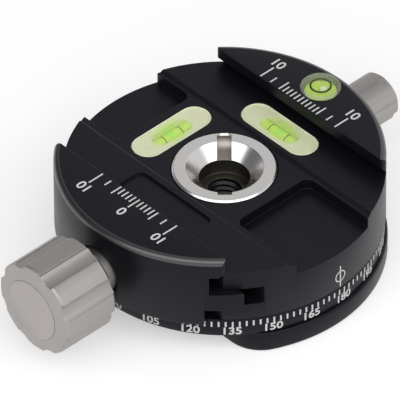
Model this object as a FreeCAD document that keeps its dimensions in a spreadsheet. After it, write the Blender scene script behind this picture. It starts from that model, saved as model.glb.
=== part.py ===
import FreeCAD, Part
import math
import os
import Sketcher

# Panoramic tripod head: a turning disc clamp for a dovetail plate.
# The Z axis is the pan axis, and the base rests on Z = 0.
# X runs from the sliding jaw and its knob to the fixed jaw and the pan lock.

doc = FreeCAD.newDocument("PanHead")

# Driving sizes in millimetres, by sheet alias
SIZES = {
    # Base and its degree disc
    "base_radius": 30.0,
    "base_thick": 4.3,
    "base_flat": 17.6,
    "base_corner": 3.5,
    "base_edge": 0.5,
    "disc_radius": 29.8,
    "disc_thick": 3.95,
    "disc_edge": 0.25,
    "hub_radius": 10.4,
    "hub_rise": 6.5,
    "socket_radius": 4.7625,
    "socket_depth": 9.0,
    "through_radius": 3.175,
    "base_screw_circle": 20.0,
    "base_screw_count": 4.0,
    "base_screw_radius": 1.25,
    "base_screw_head": 2.25,
    "base_screw_head_rise": 1.5,
    "base_screw_sunk": 0.3,
    "base_screw_length": 5.0,
    "base_screw_hex": 2.0,
    "base_screw_hex_depth": 0.9,
    # Steel spindle that holds the clamp down on the base
    "flange_radius": 9.62,
    "flange_thick": 2.5,
    "flange_proud": 0.4,
    "flange_edge": 0.35,
    "shank_radius": 7.2,
    "shank_length": 7.6,
    "cone_radius": 7.3,
    "cone_depth": 2.45,
    "bore_depth": 6.0,
    "key_width": 2.7,
    "key_reach": 8.7,
    "key_depth": 2.3,
    "key_corner": 0.9,
    "key_turn": 47.0,
    "washer_thick": 0.4,
    # Clamp body
    "body_radius": 30.0,
    "body_height": 11.5,
    "body_edge": 0.3,
    "rim_round": 1.1,
    "jaw_rise": 4.15,
    "channel_half": 10.6,
    "floor_drop": 0.5,
    "pocket_near": 8.8,
    "pocket_far": 9.5,
    "pocket_depth": 2.2,
    "front_pocket": 12.4,
    "back_pocket": 19.2,
    "pocket_corner": 1.7,
    "tray_edge": 12.0,
    "tray_half": 9.8,
    "tray_depth": 0.5,
    "tray_corner": 1.5,
    "fixed_lip": 18.9,
    "lip_land": 2.3,
    "undercut": 1.85,
    "ledge_thick": 1.5,
    "body_cut": 20.8,
    "slot_end": 14.6,
    "slot_low": 3.6,
    "slot_gap": 3.9,
    # Sliding jaw
    "jaw_open": 2.3,
    "moving_lip": 20.75,
    "jaw_wall": 23.7,
    "jaw_leg": 24.3,
    "tongue_end": 18.7,
    "tongue_relief": 4.5,
    "lip_corner": 0.8,
    "guide_radius": 1.25,
    "guide_place": 13.0,
    "guide_back": 9.0,
    "guide_front": 25.0,
    "guide_bore_end": 28.2,
    "spring_place": 15.0,
    "spring_rise": 9.4,
    "spring_radius": 1.25,
    "spring_wire": 0.35,
    "spring_seat": 25.6,
    "spring_length": 10.6,
    "spring_pocket": 1.55,
    "spring_room": 3.1,
    # Clamp knob and its screw
    "screw_height": 13.9,
    "screw_radius": 2.5,
    "screw_tip": 14.0,
    "insert_radius": 3.6,
    "insert_end": 11.4,
    "insert_blind": 11.0,
    "collar_radius": 4.6,
    "collar_length": 4.8,
    "spot_radius": 5.4,
    "spot_depth": 0.7,
    "knob_radius": 9.35,
    "knob_length": 12.7,
    "knob_bevel": 1.35,
    "knob_bevel_length": 1.6,
    "knob_back_bevel": 0.5,
    "scallop_radius": 5.2,
    "scallop_reach": 13.5,
    "scallop_turn": -12.0,
    "scallop_count": 6.0,
    "cap_radius": 6.1,
    "cap_thick": 1.4,
    "cap_groove": 0.25,
    "clip_radius": 3.9,
    "clip_thick": 0.7,
    "clip_pocket": 4.3,
    "clip_pocket_end": 17.2,
    # Pan lock
    "pan_pad_radius": 1.9,
    "pan_pad_length": 3.2,
    "pan_pad_gap": 0.3,
    "pan_screw_radius": 1.7,
    "pan_sleeve_radius": 2.8,
    "pan_sleeve_start": 18.6,
    "pan_height": 13.5,
    "pan_spot_radius": 5.6,
    "pan_spot_depth": 1.1,
    "pan_knob_gap": 1.0,
    "pan_knob_radius": 4.8,
    "pan_knob_length": 10.8,
    "pan_knob_bevel": 0.6,
    "pan_scallop_radius": 2.6,
    "pan_scallop_reach": 6.9,
    "pan_scallop_count": 6.0,
    "pan_cap_radius": 3.0,
    "pan_cap_thick": 0.8,
    # Bubble levels
    "vial_half": 5.85,
    "vial_radius": 3.1,
    "vial_thick": 3.5,
    "vial_bore": 1.4,
    "vial_bore_half": 6.2,
    "vial_tube_rise": 1.65,
    "vial_plug": 1.0,
    "vial_x_place": 14.4,
    "vial_y_place": 14.7,
    "level_shift": 0.6,
    "bull_inset": 4.8,
    "bull_radius": 3.85,
    "bull_thick": 3.4,
    "bull_wall": 0.7,
    "bull_floor": 0.8,
    "bull_lens": 0.9,
    # Clearances
    "turn_gap": 0.1,
    "run_fit": 0.05,
    "slide_fit": 0.06,
    "press_gap": 0.02,
    "part_gap": 0.1,
}

sheet = doc.addObject("Spreadsheet::Sheet", "Dims")
for row, (alias, value) in enumerate(SIZES.items(), 1):
    sheet.set("A%d" % row, alias)
    sheet.set("B%d" % row, repr(value))
    sheet.setAlias("B%d" % row, alias)
doc.recompute()


class Size:
    """A length that carries its value and the sheet formula it comes from."""

    def __init__(self, value, formula):
        self.value = value
        self.formula = formula

    def join(self, sign, other, value):
        return Size(value, "(%s %s %s)" % (self.formula, sign, other.formula))

    def __add__(self, other):
        other = size(other)
        return self.join("+", other, self.value + other.value)

    def __sub__(self, other):
        other = size(other)
        return self.join("-", other, self.value - other.value)

    def __mul__(self, other):
        other = size(other)
        return self.join("*", other, self.value * other.value)

    def __truediv__(self, other):
        other = size(other)
        return self.join("/", other, self.value / other.value)

    def __neg__(self):
        return Size(-self.value, "(0 - %s)" % self.formula)


def size(value):
    return value if isinstance(value, Size) else Size(value, repr(value))


def root(amount):
    return Size(math.sqrt(amount.value), "sqrt(%s)" % amount.formula)


class Sizes:
    """The sheet's cells by name, as lengths that formulas can use."""

    def __getattr__(self, alias):
        return Size(float(sheet.get(alias)), "Dims." + alias)


d = Sizes()

# Heights worked out from the driving sizes
disc_top = d.base_thick + d.disc_thick
body_bottom = disc_top + d.turn_gap
seat_top = body_bottom + d.body_height
floor_top = seat_top - d.floor_drop
jaw_top = seat_top + d.jaw_rise
slot_bottom = body_bottom + d.slot_low
slot_top = slot_bottom + d.slot_gap
hub_top = disc_top + d.hub_rise
ledge_bottom = hub_top + d.washer_thick + d.turn_gap
ledge_top = ledge_bottom + d.ledge_thick
flange_top = floor_top + d.flange_proud
flange_bottom = flange_top - d.flange_thick
shank_bottom = flange_bottom - d.shank_length

# Places worked out along X
collar_seat = d.body_radius + d.jaw_open - d.spot_depth
knob_back = collar_seat + d.collar_length
pan_spot = d.body_radius - d.pan_spot_depth
bull_place = d.body_radius - d.bull_inset
TOOL_REACH = 40.0


def new_body(label, turn=None, move=(0, 0, 0)):
    """An empty body with its name and its place in the head."""
    body = doc.addObject("PartDesign::Body", label)
    body.Label = label
    if turn is not None:
        body.Placement = FreeCAD.Placement(FreeCAD.Vector(), turn)
    for axis, distance in zip("xyz", move):
        distance = size(distance)
        body.setExpression("Placement.Base." + axis, distance.formula)
    return body


def new_sketch(body, plane, height=0):
    """A sketch on one of the body's own planes, raised by a height."""
    sketch = body.newObject("Sketcher::SketchObject", body.Name + "_sketch")
    face = [item for item in body.Origin.OriginFeatures if item.Role == plane][0]
    sketch.AttachmentSupport = [(face, "")]
    sketch.MapMode = "FlatFace"
    height = size(height)
    sketch.AttachmentOffset = FreeCAD.Placement(FreeCAD.Vector(0, 0, height.value), FreeCAD.Rotation())
    sketch.setExpression("AttachmentOffset.Base.z", height.formula)
    return sketch


def fix(sketch, kind, *where):
    """A dimension of the sketch, bound to its formula."""
    amount = size(where[-1])
    number = sketch.addConstraint(Sketcher.Constraint(kind, *where[:-1], amount.value))
    sketch.setExpression("Constraints[%d]" % number, amount.formula)


def draw_outline(sketch, points):
    """A closed outline of straight lines through the given points."""
    points = [(size(x), size(y)) for x, y in points]
    first = sketch.GeometryCount
    count = len(points)
    for index, (x, y) in enumerate(points):
        end_x, end_y = points[(index + 1) % count]
        start = FreeCAD.Vector(x.value, y.value, 0)
        end = FreeCAD.Vector(end_x.value, end_y.value, 0)
        sketch.addGeometry(Part.LineSegment(start, end), False)
    for index in range(count):
        after = first + (index + 1) % count
        sketch.addConstraint(Sketcher.Constraint("Coincident", first + index, 2, after, 1))
    for index, (x, y) in enumerate(points):
        fix(sketch, "DistanceX", first + index, 1, x)
        fix(sketch, "DistanceY", first + index, 1, y)


def draw_path(sketch, points):
    """An open run of straight lines, with its inner corners fixed."""
    first = sketch.GeometryCount
    for (x, y), (end_x, end_y) in zip(points, points[1:]):
        start = FreeCAD.Vector(x.value, y.value, 0)
        sketch.addGeometry(Part.LineSegment(start, FreeCAD.Vector(end_x.value, end_y.value, 0)), False)
    for index, (x, y) in enumerate(points[1:-1], first):
        sketch.addConstraint(Sketcher.Constraint("Coincident", index, 2, index + 1, 1))
        fix(sketch, "DistanceX", index, 2, x)
        fix(sketch, "DistanceY", index, 2, y)


def draw_circle(sketch, radius, x=0, y=0):
    """A circle at a point of the sketch."""
    radius, x, y = size(radius), size(x), size(y)
    centre = FreeCAD.Vector(x.value, y.value, 0)
    number = sketch.addGeometry(Part.Circle(centre, FreeCAD.Vector(0, 0, 1), radius.value), False)
    fix(sketch, "Radius", number, radius)
    fix(sketch, "DistanceX", number, 3, x)
    fix(sketch, "DistanceY", number, 3, y)


def draw_stadium(sketch, half, radius, x, y, along_x):
    """A slot outline: two half circles joined by straight sides."""
    half, radius, x, y = size(half), size(radius), size(x), size(y)
    ends = []
    for sign in (1, -1):
        shift = size(sign) * half
        ends.append((x + shift, y) if along_x else (x, y + shift))
    turn = 0.0 if along_x else math.pi / 2
    first = sketch.GeometryCount
    for index, (end_x, end_y) in enumerate(ends):
        centre = FreeCAD.Vector(end_x.value, end_y.value, 0)
        start = turn - math.pi / 2 + index * math.pi
        circle = Part.Circle(centre, FreeCAD.Vector(0, 0, 1), radius.value)
        sketch.addGeometry(Part.ArcOfCircle(circle, start, start + math.pi), False)
    for index in range(2):
        arc_end = sketch.getPoint(first + index, 2)
        arc_start = sketch.getPoint(first + 1 - index, 1)
        sketch.addGeometry(Part.LineSegment(arc_end, arc_start), False)
    for index in range(2):
        line = first + 2 + index
        sketch.addConstraint(Sketcher.Constraint("Tangent", first + index, 2, line, 1))
        sketch.addConstraint(Sketcher.Constraint("Tangent", line, 2, first + 1 - index, 1))
    for index, (end_x, end_y) in enumerate(ends):
        fix(sketch, "DistanceX", first + index, 3, end_x)
        fix(sketch, "DistanceY", first + index, 3, end_y)
    fix(sketch, "Radius", first, radius)


def pad(body, sketch, length, both=False):
    """Material raised from a sketch."""
    feature = body.newObject("PartDesign::Pad", body.Name + "_pad")
    feature.Profile = sketch
    feature.setExpression("Length", size(length).formula)
    feature.SideType = "Symmetric" if both else "One side"
    return feature


def pocket(body, sketch, length=None, both=False, up=False):
    """Material cut below a sketch, or all the way through."""
    feature = body.newObject("PartDesign::Pocket", body.Name + "_pocket")
    feature.Profile = sketch
    if length is None:
        feature.Type = "ThroughAll"
    else:
        feature.setExpression("Length", size(length).formula)
    feature.SideType = "Symmetric" if both else "One side"
    feature.Reversed = up
    return feature


def turned(body, sketch, kind="PartDesign::Revolution", axis="V_Axis"):
    """A full turn of a sketch about one of its axes."""
    feature = body.newObject(kind, body.Name + "_turn")
    feature.Profile = sketch
    feature.ReferenceAxis = (sketch, [axis])
    feature.Angle = 360
    return feature


def round_pattern(body, feature, axis_role, count):
    """Copies of a feature about one of the body's axes."""
    axis = [item for item in body.Origin.OriginFeatures if item.Role == axis_role][0]
    pattern = body.newObject("PartDesign::PolarPattern", body.Name + "_pattern")
    pattern.Originals = [feature]
    pattern.Axis = (axis, [""])
    pattern.Angle = 360
    pattern.setExpression("Occurrences", size(count).formula)
    body.Tip = pattern
    return pattern


def edges_where(body, test):
    """Names of the body's edges whose middle and shape pass a test."""
    doc.recompute()
    names = []
    for number, edge in enumerate(body.Tip.Shape.Edges, 1):
        middle = edge.valueAt((edge.FirstParameter + edge.LastParameter) / 2)
        if test(edge, middle):
            names.append("Edge%d" % number)
    return names


def ease(body, kind, amount, test):
    """A fillet or chamfer on the edges that pass a test."""
    names = edges_where(body, test)
    base = body.Tip
    feature = body.newObject("PartDesign::" + kind, body.Name + "_ease")
    feature.Base = (base, names)
    setting = "Radius" if kind == "Fillet" else "Size"
    feature.setExpression(setting, size(amount).formula)
    return feature


def near(value, target, slack=0.02):
    return abs(value - target) < slack


def on_height(height):
    """A test for level edges at one height."""
    level = size(height).value
    return lambda edge, middle: near(middle.z, level) and near(edge.BoundBox.ZLength, 0)


def round_tips(body, lip, way, x=0):
    """The rounded tips at both ends of a jaw's lip, whose disc has its centre at x."""
    inset = lip + d.lip_corner
    reach = d.body_radius - d.lip_corner
    tip_y = root(reach * reach - inset * inset)
    outer = inset * d.body_radius / reach
    tip_x, outer_x, free_x = [size(x) + size(way) * part for part in (inset, outer, lip - 1)]
    lip_x = size(x) + size(way) * lip
    slope = math.atan2(tip_y.value, way * inset.value)
    for side in (1, -1):
        sketch = new_sketch(body, "XY_Plane", jaw_top)
        y = size(side) * tip_y
        circle = Part.Circle(FreeCAD.Vector(tip_x.value, y.value, 0), FreeCAD.Vector(0, 0, 1),
                             d.lip_corner.value)
        ends = sorted([side * slope, side * math.pi if way > 0 else 0.0])
        lip_end = 1 if way * side < 0 else 2
        arc = sketch.addGeometry(Part.ArcOfCircle(circle, *ends), False)
        fix(sketch, "Radius", arc, d.lip_corner)
        fix(sketch, "DistanceX", arc, 3, tip_x)
        fix(sketch, "DistanceY", arc, 3, y)
        fix(sketch, "DistanceY", arc, lip_end, y)
        fix(sketch, "DistanceX", arc, 3 - lip_end, outer_x)
        far = size(side) * TOOL_REACH
        run = [(outer_x, y), (outer_x, far), (free_x, far), (free_x, y), (lip_x, y)]
        draw_path(sketch, run)
        sketch.addConstraint(Sketcher.Constraint("Coincident", arc, 3 - lip_end, arc + 1, 1))
        sketch.addConstraint(Sketcher.Constraint("Coincident", arc, lip_end, arc + len(run) - 1, 2))
        pocket(body, sketch, d.jaw_rise)


def round_rim(body, x=0):
    """The rounded rim round the jaws' tops, cut about the disc's own axis."""
    sketch = new_sketch(body, "XZ_Plane")
    sketch.setExpression("AttachmentOffset.Base.x", size(x).formula)
    centre_x, centre_y = d.body_radius - d.rim_round, jaw_top - d.rim_round
    centre = FreeCAD.Vector(centre_x.value, centre_y.value, 0)
    circle = Part.Circle(centre, FreeCAD.Vector(0, 0, 1), d.rim_round.value)
    arc = sketch.addGeometry(Part.ArcOfCircle(circle, 0, math.pi / 2), False)
    fix(sketch, "DistanceX", arc, 3, centre_x)
    fix(sketch, "DistanceY", arc, 3, centre_y)
    fix(sketch, "DistanceX", arc, 2, centre_x)
    fix(sketch, "DistanceY", arc, 2, jaw_top)
    fix(sketch, "DistanceY", arc, 1, centre_y)
    corners = [(centre_x, jaw_top), (centre_x, jaw_top + 1), (d.body_radius + 1, jaw_top + 1),
               (d.body_radius + 1, centre_y), (d.body_radius, centre_y)]
    draw_path(sketch, corners)
    sketch.addConstraint(Sketcher.Constraint("Coincident", arc, 2, arc + 1, 1))
    sketch.addConstraint(Sketcher.Constraint("Coincident", arc, 1, arc + len(corners) - 1, 2))
    turned(body, sketch, "PartDesign::Groove")


# Turns that lay a body's own Z axis along the head's X axis
ALONG_X = FreeCAD.Rotation(FreeCAD.Vector(0, 1, 0), 90)
AGAINST_X = FreeCAD.Rotation(FreeCAD.Vector(0, 1, 0), -90)


def ring(label, outer, inner, thick, move=(0, 0, 0), turn=None):
    """A plain turned ring or disc."""
    body = new_body(label, turn, move)
    sketch = new_sketch(body, "XY_Plane")
    draw_circle(sketch, outer)
    if inner is not None:
        draw_circle(sketch, inner)
    pad(body, sketch, thick)
    return body


# Base plate: a disc with one flat side under the clamp knob, its hub and the tripod socket
def make_base_plate():
    body = new_body("base_plate")
    profile = new_sketch(body, "XZ_Plane")
    draw_outline(profile, [
        (d.through_radius, d.socket_depth),
        (d.socket_radius, d.socket_depth),
        (d.socket_radius, 0),
        (d.base_radius - d.base_edge, 0),
        (d.base_radius, d.base_edge),
        (d.base_radius, d.base_thick - d.disc_edge),
        (d.base_radius - d.disc_edge, d.base_thick),
        (d.hub_radius, d.base_thick),
        (d.hub_radius, hub_top),
        (d.shank_radius + d.press_gap, hub_top),
        (d.shank_radius + d.press_gap, shank_bottom),
        (d.through_radius, shank_bottom),
    ])
    turned(body, profile)
    flat = new_sketch(body, "XY_Plane", d.base_thick)
    draw_outline(flat, [
        (-TOOL_REACH, -TOOL_REACH),
        (-d.base_flat, -TOOL_REACH),
        (-d.base_flat, TOOL_REACH),
        (-TOOL_REACH, TOOL_REACH),
    ])
    pocket(body, flat, d.base_thick)
    ease(body, "Fillet", d.base_corner, lambda edge, middle: (
        near(middle.x, -d.base_flat.value) and abs(middle.y) > 1 and edge.BoundBox.ZLength > 1))
    place = d.base_screw_circle / math.sqrt(2)
    for radius, depth in (
        (d.base_screw_radius + d.press_gap, d.base_thick),
        (d.base_screw_head + d.part_gap, d.base_screw_sunk + d.base_screw_head_rise),
    ):
        sketch = new_sketch(body, "XY_Plane")
        draw_circle(sketch, radius, place, place)
        hole = pocket(body, sketch, depth, up=True)
        round_pattern(body, hole, "Z_Axis", d.base_screw_count)
    return body


# Degree disc: the full round disc that carries the scale
def make_degree_disc():
    body = new_body("degree_disc", move=(0, 0, d.base_thick))
    profile = new_sketch(body, "XZ_Plane")
    draw_outline(profile, [
        (d.hub_radius + d.press_gap, 0),
        (d.disc_radius - d.disc_edge, 0),
        (d.disc_radius, d.disc_edge),
        (d.disc_radius, d.disc_thick - d.disc_edge),
        (d.disc_radius - d.disc_edge, d.disc_thick),
        (d.hub_radius + d.press_gap, d.disc_thick),
    ])
    turned(body, profile)
    sketch = new_sketch(body, "XY_Plane")
    place = d.base_screw_circle / math.sqrt(2)
    draw_circle(sketch, d.base_screw_radius + d.press_gap, place, place)
    depth = d.base_screw_sunk + d.base_screw_head_rise + d.base_screw_length - d.base_thick + d.part_gap
    hole = pocket(body, sketch, depth, up=True)
    round_pattern(body, hole, "Z_Axis", d.base_screw_count)
    return body


# Socket head screws that hold the degree disc on the base plate from below
def make_base_screws():
    up = FreeCAD.Vector(0, 0, 1)
    sunk = d.base_screw_sunk.value
    rise = d.base_screw_head_rise.value
    key_radius = d.base_screw_hex.value / math.sqrt(3)
    corners = []
    for step in range(7):
        angle = math.radians(60 * step)
        corners.append(FreeCAD.Vector(key_radius * math.cos(angle), key_radius * math.sin(angle), sunk))
    key = Part.Face(Part.makePolygon(corners)).extrude(up * d.base_screw_hex_depth.value)
    head = Part.makeCylinder(d.base_screw_head.value, rise, up * sunk, up)
    length = d.base_screw_length.value
    shaft = Part.makeCylinder(d.base_screw_radius.value, length, up * (sunk + rise), up)
    screws = []
    count = int(d.base_screw_count.value)
    for step in range(count):
        screw = head.fuse(shaft).cut(key)
        screw.translate(FreeCAD.Vector(d.base_screw_circle.value, 0, 0))
        screw.rotate(FreeCAD.Vector(), up, 45 + step * 360.0 / count)
        screws.append(screw)
    return group_feature("base_screws", screws)


def group_feature(label, solids):
    """Separate like solids kept under one name."""
    group = doc.addObject("Part::Feature", label)
    group.Shape = Part.makeCompound(solids)
    group.Label = label
    return group


# Steel spindle: its flange holds the clamp down, its shank sits in the hub
def make_spindle():
    body = new_body("centre_spindle")
    profile = new_sketch(body, "XZ_Plane")
    shoulder = flange_top - d.bore_depth
    draw_outline(profile, [
        (d.through_radius, shank_bottom),
        (d.shank_radius, shank_bottom),
        (d.shank_radius, flange_bottom),
        (d.flange_radius, flange_bottom),
        (d.flange_radius, flange_top - d.flange_edge),
        (d.flange_radius - d.flange_edge, flange_top),
        (d.cone_radius, flange_top),
        (d.socket_radius, flange_top - d.cone_depth),
        (d.socket_radius, shoulder),
        (d.through_radius, shoulder),
    ])
    turned(body, profile)
    key = new_sketch(body, "XY_Plane", flange_top)
    half = d.key_width / 2
    draw_outline(key, [
        (-d.key_reach, -half),
        (d.key_reach, -half),
        (d.key_reach, half),
        (-d.key_reach, half),
    ])
    pocket(body, key, d.key_depth)
    ease(body, "Fillet", d.key_corner, lambda edge, middle: (
        near(abs(middle.x), d.key_reach.value) and near(abs(middle.y), half.value)
        and edge.BoundBox.ZLength > 1))
    turn = FreeCAD.Rotation(FreeCAD.Vector(0, 0, 1), d.key_turn.value)
    body.Placement = FreeCAD.Placement(FreeCAD.Vector(), turn)
    return body


# Slippery washers above and below the ledge of the clamp body
def make_washers():
    ring("hub_washer", d.hub_radius - d.part_gap, d.shank_radius + d.part_gap, d.washer_thick,
         (0, 0, hub_top))
    ring("spindle_washer", d.flange_radius - d.part_gap, d.shank_radius + d.part_gap, d.washer_thick,
         (0, 0, flange_bottom - d.washer_thick))


# Clamp body: the turning disc with the fixed jaw, its floor, levels' pockets and slide slot
def make_clamp_body():
    body = new_body("clamp_body")
    disc = new_sketch(body, "XY_Plane", body_bottom)
    draw_circle(disc, d.body_radius)
    pad(body, disc, d.body_height + d.jaw_rise)
    ease(body, "Chamfer", d.body_edge, on_height(body_bottom))

    section = new_sketch(body, "XZ_Plane")
    land_bottom = jaw_top - d.lip_land
    draw_outline(section, [
        (d.fixed_lip, jaw_top + 1),
        (d.fixed_lip, land_bottom),
        (d.fixed_lip + d.undercut, seat_top),
        (d.channel_half, seat_top),
        (d.channel_half - d.floor_drop, floor_top),
        (d.floor_drop - d.channel_half, floor_top),
        (-d.channel_half, seat_top),
        (-d.body_cut, seat_top),
        (-d.body_cut, slot_top),
        (-d.slot_end, slot_top),
        (-d.slot_end, slot_bottom),
        (-d.body_cut, slot_bottom),
        (-d.body_cut, body_bottom - 1),
        (-TOOL_REACH, body_bottom - 1),
        (-TOOL_REACH, jaw_top + 1),
    ])
    pocket(body, section, both=True)
    round_tips(body, d.fixed_lip, 1)
    round_rim(body)

    bores = new_sketch(body, "XZ_Plane")
    bearing = d.hub_radius + d.run_fit
    draw_outline(bores, [
        (0, body_bottom - 1),
        (bearing, body_bottom - 1),
        (bearing, ledge_bottom),
        (d.shank_radius + d.part_gap, ledge_bottom),
        (d.shank_radius + d.part_gap, ledge_top),
        (d.flange_radius + d.part_gap, ledge_top),
        (d.flange_radius + d.part_gap, jaw_top),
        (0, jaw_top),
    ])
    turned(body, bores, "PartDesign::Groove")

    for start, sign in ((d.front_pocket, -1), (d.back_pocket, 1)):
        recess = new_sketch(body, "XY_Plane", floor_top)
        draw_outline(recess, [
            (-d.pocket_near, start * sign),
            (d.pocket_far, start * sign),
            (d.pocket_far, TOOL_REACH * sign),
            (-d.pocket_near, TOOL_REACH * sign),
        ])
        pocket(body, recess, d.pocket_depth)
    tray = new_sketch(body, "XY_Plane", seat_top)
    draw_outline(tray, [
        (-TOOL_REACH, -d.tray_half),
        (-d.tray_edge, -d.tray_half),
        (-d.tray_edge, d.tray_half),
        (-TOOL_REACH, d.tray_half),
    ])
    pocket(body, tray, d.tray_depth)
    ease(body, "Fillet", d.pocket_corner, lambda edge, middle: (
        edge.BoundBox.ZLength > 1 and near(edge.BoundBox.XLength, 0)
        and (near(middle.x, -d.pocket_near.value) or near(middle.x, d.pocket_far.value))
        and (near(middle.y, -d.front_pocket.value) or near(middle.y, d.back_pocket.value))))
    ease(body, "Fillet", d.tray_corner, lambda edge, middle: (
        near(middle.x, -d.tray_edge.value) and near(abs(middle.y), d.tray_half.value)
        and edge.BoundBox.ZLength > 0.3))

    fit = d.vial_radius + d.part_gap
    level_x = new_sketch(body, "XY_Plane", floor_top)
    draw_stadium(level_x, d.vial_half, fit, 0, d.vial_x_place, True)
    pocket(body, level_x, d.vial_thick)
    level_y = new_sketch(body, "XY_Plane", seat_top)
    draw_stadium(level_y, d.vial_half, fit, d.vial_y_place, d.level_shift, False)
    pocket(body, level_y, d.vial_thick)
    bull = new_sketch(body, "XY_Plane", jaw_top)
    draw_circle(bull, d.bull_radius + d.part_gap, bull_place, d.level_shift)
    pocket(body, bull, d.bull_thick)

    cross_hole(body, d.insert_radius + d.press_gap, -d.clip_pocket_end, -d.insert_blind)
    cross_hole(body, d.clip_pocket, -TOOL_REACH, -d.clip_pocket_end)
    for sign in (1, -1):
        cross_hole(body, d.guide_radius + d.press_gap, -d.slot_end - 1, -d.guide_back, d.guide_place * sign,
                   slot_bottom + d.slot_gap / 2)
        cross_hole(body, d.spring_pocket, -TOOL_REACH, d.spring_length - d.spring_seat + d.spring_room,
                   d.spring_place * sign, body_bottom + d.spring_rise)
    for radius, start, end in (
        (d.pan_pad_radius + d.run_fit, d.hub_radius, d.pan_sleeve_start),
        (d.pan_sleeve_radius + d.press_gap, d.pan_sleeve_start, TOOL_REACH),
        (d.pan_spot_radius, pan_spot, TOOL_REACH),
    ):
        cross_hole(body, radius, start, end, height=d.pan_height)
    return body


def cross_hole(body, radius, start, end, y=0, height=None):
    """A round hole along X, from one place to another."""
    start, end = size(start), size(end)
    height = d.screw_height if height is None else height
    sketch = new_sketch(body, "YZ_Plane", start)
    draw_circle(sketch, radius, y, height)
    return pocket(body, sketch, end - start, up=True)


# Sliding jaw: a segment of the disc with an undercut lip and a tongue in the body's slot
def make_moving_jaw():
    body = new_body("moving_jaw")
    disc = new_sketch(body, "XY_Plane", body_bottom)
    draw_circle(disc, d.body_radius, -d.jaw_open)
    pad(body, disc, d.body_height + d.jaw_rise)
    section = new_sketch(body, "XZ_Plane")
    lip_bottom = seat_top + d.part_gap
    draw_outline(section, [
        (-d.moving_lip, jaw_top + 1),
        (-d.moving_lip, jaw_top - d.lip_land),
        (-(d.moving_lip + d.undercut - d.part_gap), lip_bottom),
        (-d.jaw_wall, lip_bottom),
        (-d.jaw_wall, slot_top - d.slide_fit),
        (-d.tongue_end, slot_top - d.slide_fit),
        (-d.tongue_end, slot_bottom + d.slide_fit),
        (-d.jaw_leg, slot_bottom + d.slide_fit),
        (-d.jaw_leg, body_bottom - 1),
        (TOOL_REACH, body_bottom - 1),
        (TOOL_REACH, jaw_top + 1),
    ])
    pocket(body, section, both=True)
    round_tips(body, d.moving_lip - d.jaw_open, -1, -d.jaw_open)
    round_rim(body, -d.jaw_open)
    ease(body, "Chamfer", d.body_edge, lambda edge, middle: (
        on_height(body_bottom)(edge, middle) and edge.Length > 25 and edge.BoundBox.XLength > 1))

    relief = new_sketch(body, "XY_Plane", slot_top)
    draw_outline(relief, [
        (-d.jaw_wall, -d.tongue_relief),
        (0, -d.tongue_relief),
        (0, d.tongue_relief),
        (-d.jaw_wall, d.tongue_relief),
    ])
    pocket(body, relief, d.slot_gap)
    cross_hole(body, d.screw_radius + d.run_fit, -TOOL_REACH, -d.body_cut)
    cross_hole(body, d.spot_radius, -TOOL_REACH, -collar_seat)
    for sign in (1, -1):
        cross_hole(body, d.guide_radius + d.run_fit, -d.guide_bore_end, 0, d.guide_place * sign,
                   slot_bottom + d.slot_gap / 2)
        cross_hole(body, d.spring_pocket, -d.spring_seat, 0, d.spring_place * sign,
                   body_bottom + d.spring_rise)
    return body


# Hardened pins in the body that keep the jaw square as it slides
def make_guide_pins():
    pins = []
    height = (slot_bottom + d.slot_gap / 2).value
    length = (d.guide_front - d.guide_back).value
    for sign in (1, -1):
        start = FreeCAD.Vector(-d.guide_front.value, d.guide_place.value * sign, height)
        pins.append(Part.makeCylinder(d.guide_radius.value, length, start, FreeCAD.Vector(1, 0, 0)))
    return group_feature("guide_pins", pins)


# Springs that push the jaw open, as plain tubes of the springs' size
def make_jaw_springs():
    springs = []
    height = (body_bottom + d.spring_rise).value
    length = d.spring_length.value
    radius = d.spring_radius.value
    along = FreeCAD.Vector(1, 0, 0)
    for sign in (1, -1):
        start = FreeCAD.Vector(-d.spring_seat.value, d.spring_place.value * sign, height)
        outer = Part.makeCylinder(radius, length, start, along)
        inner = Part.makeCylinder(radius - d.spring_wire.value, length, start, along)
        springs.append(outer.cut(inner))
    return group_feature("jaw_springs", springs)


# Clamp screw parts, drawn along their own Z axis, which points from the knob to the body
def make_clamp_screw():
    length = knob_back + d.knob_length - d.cap_thick - d.screw_tip
    body = new_body("clamp_screw", ALONG_X, (-d.screw_tip - length, 0, d.screw_height))
    profile = new_sketch(body, "XZ_Plane")
    groove = d.screw_radius - d.clip_thick / 2
    clip_start = length + d.screw_tip - d.jaw_wall + d.part_gap
    draw_outline(profile, [
        (0, 0),
        (d.screw_radius, 0),
        (d.screw_radius, clip_start),
        (groove, clip_start),
        (groove, clip_start + d.clip_thick),
        (d.screw_radius, clip_start + d.clip_thick),
        (d.screw_radius, length - d.body_edge),
        (d.screw_radius - d.body_edge, length),
        (0, length),
    ])
    turned(body, profile)
    ring("screw_clip", d.clip_radius, groove, d.clip_thick,
         (-d.jaw_wall + d.part_gap, 0, d.screw_height), ALONG_X)
    ring("knob_collar", d.collar_radius, d.screw_radius + d.press_gap, d.collar_length,
         (-knob_back, 0, d.screw_height), ALONG_X)
    return body


# Threaded steel insert in the body that the clamp screw pulls on
def make_screw_insert():
    ring("screw_insert", d.insert_radius, d.screw_radius + d.run_fit, d.clip_pocket_end - d.insert_end,
         (-d.clip_pocket_end, 0, d.screw_height), ALONG_X)


def scalloped_knob(label, turn, move, outline, length, scallop, reach, count, start_angle):
    """A turned knob with shallow round scallops cut along its side."""
    body = new_body(label, turn, move)
    profile = new_sketch(body, "XZ_Plane")
    draw_outline(profile, outline)
    turned(body, profile)
    cutter = new_sketch(body, "XY_Plane")
    angle = math.radians(size(start_angle).value)
    draw_circle(cutter, scallop, reach * math.cos(angle), reach * math.sin(angle))
    flute = pocket(body, cutter, length + 1, up=True)
    round_pattern(body, flute, "Z_Axis", count)
    return body


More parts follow.
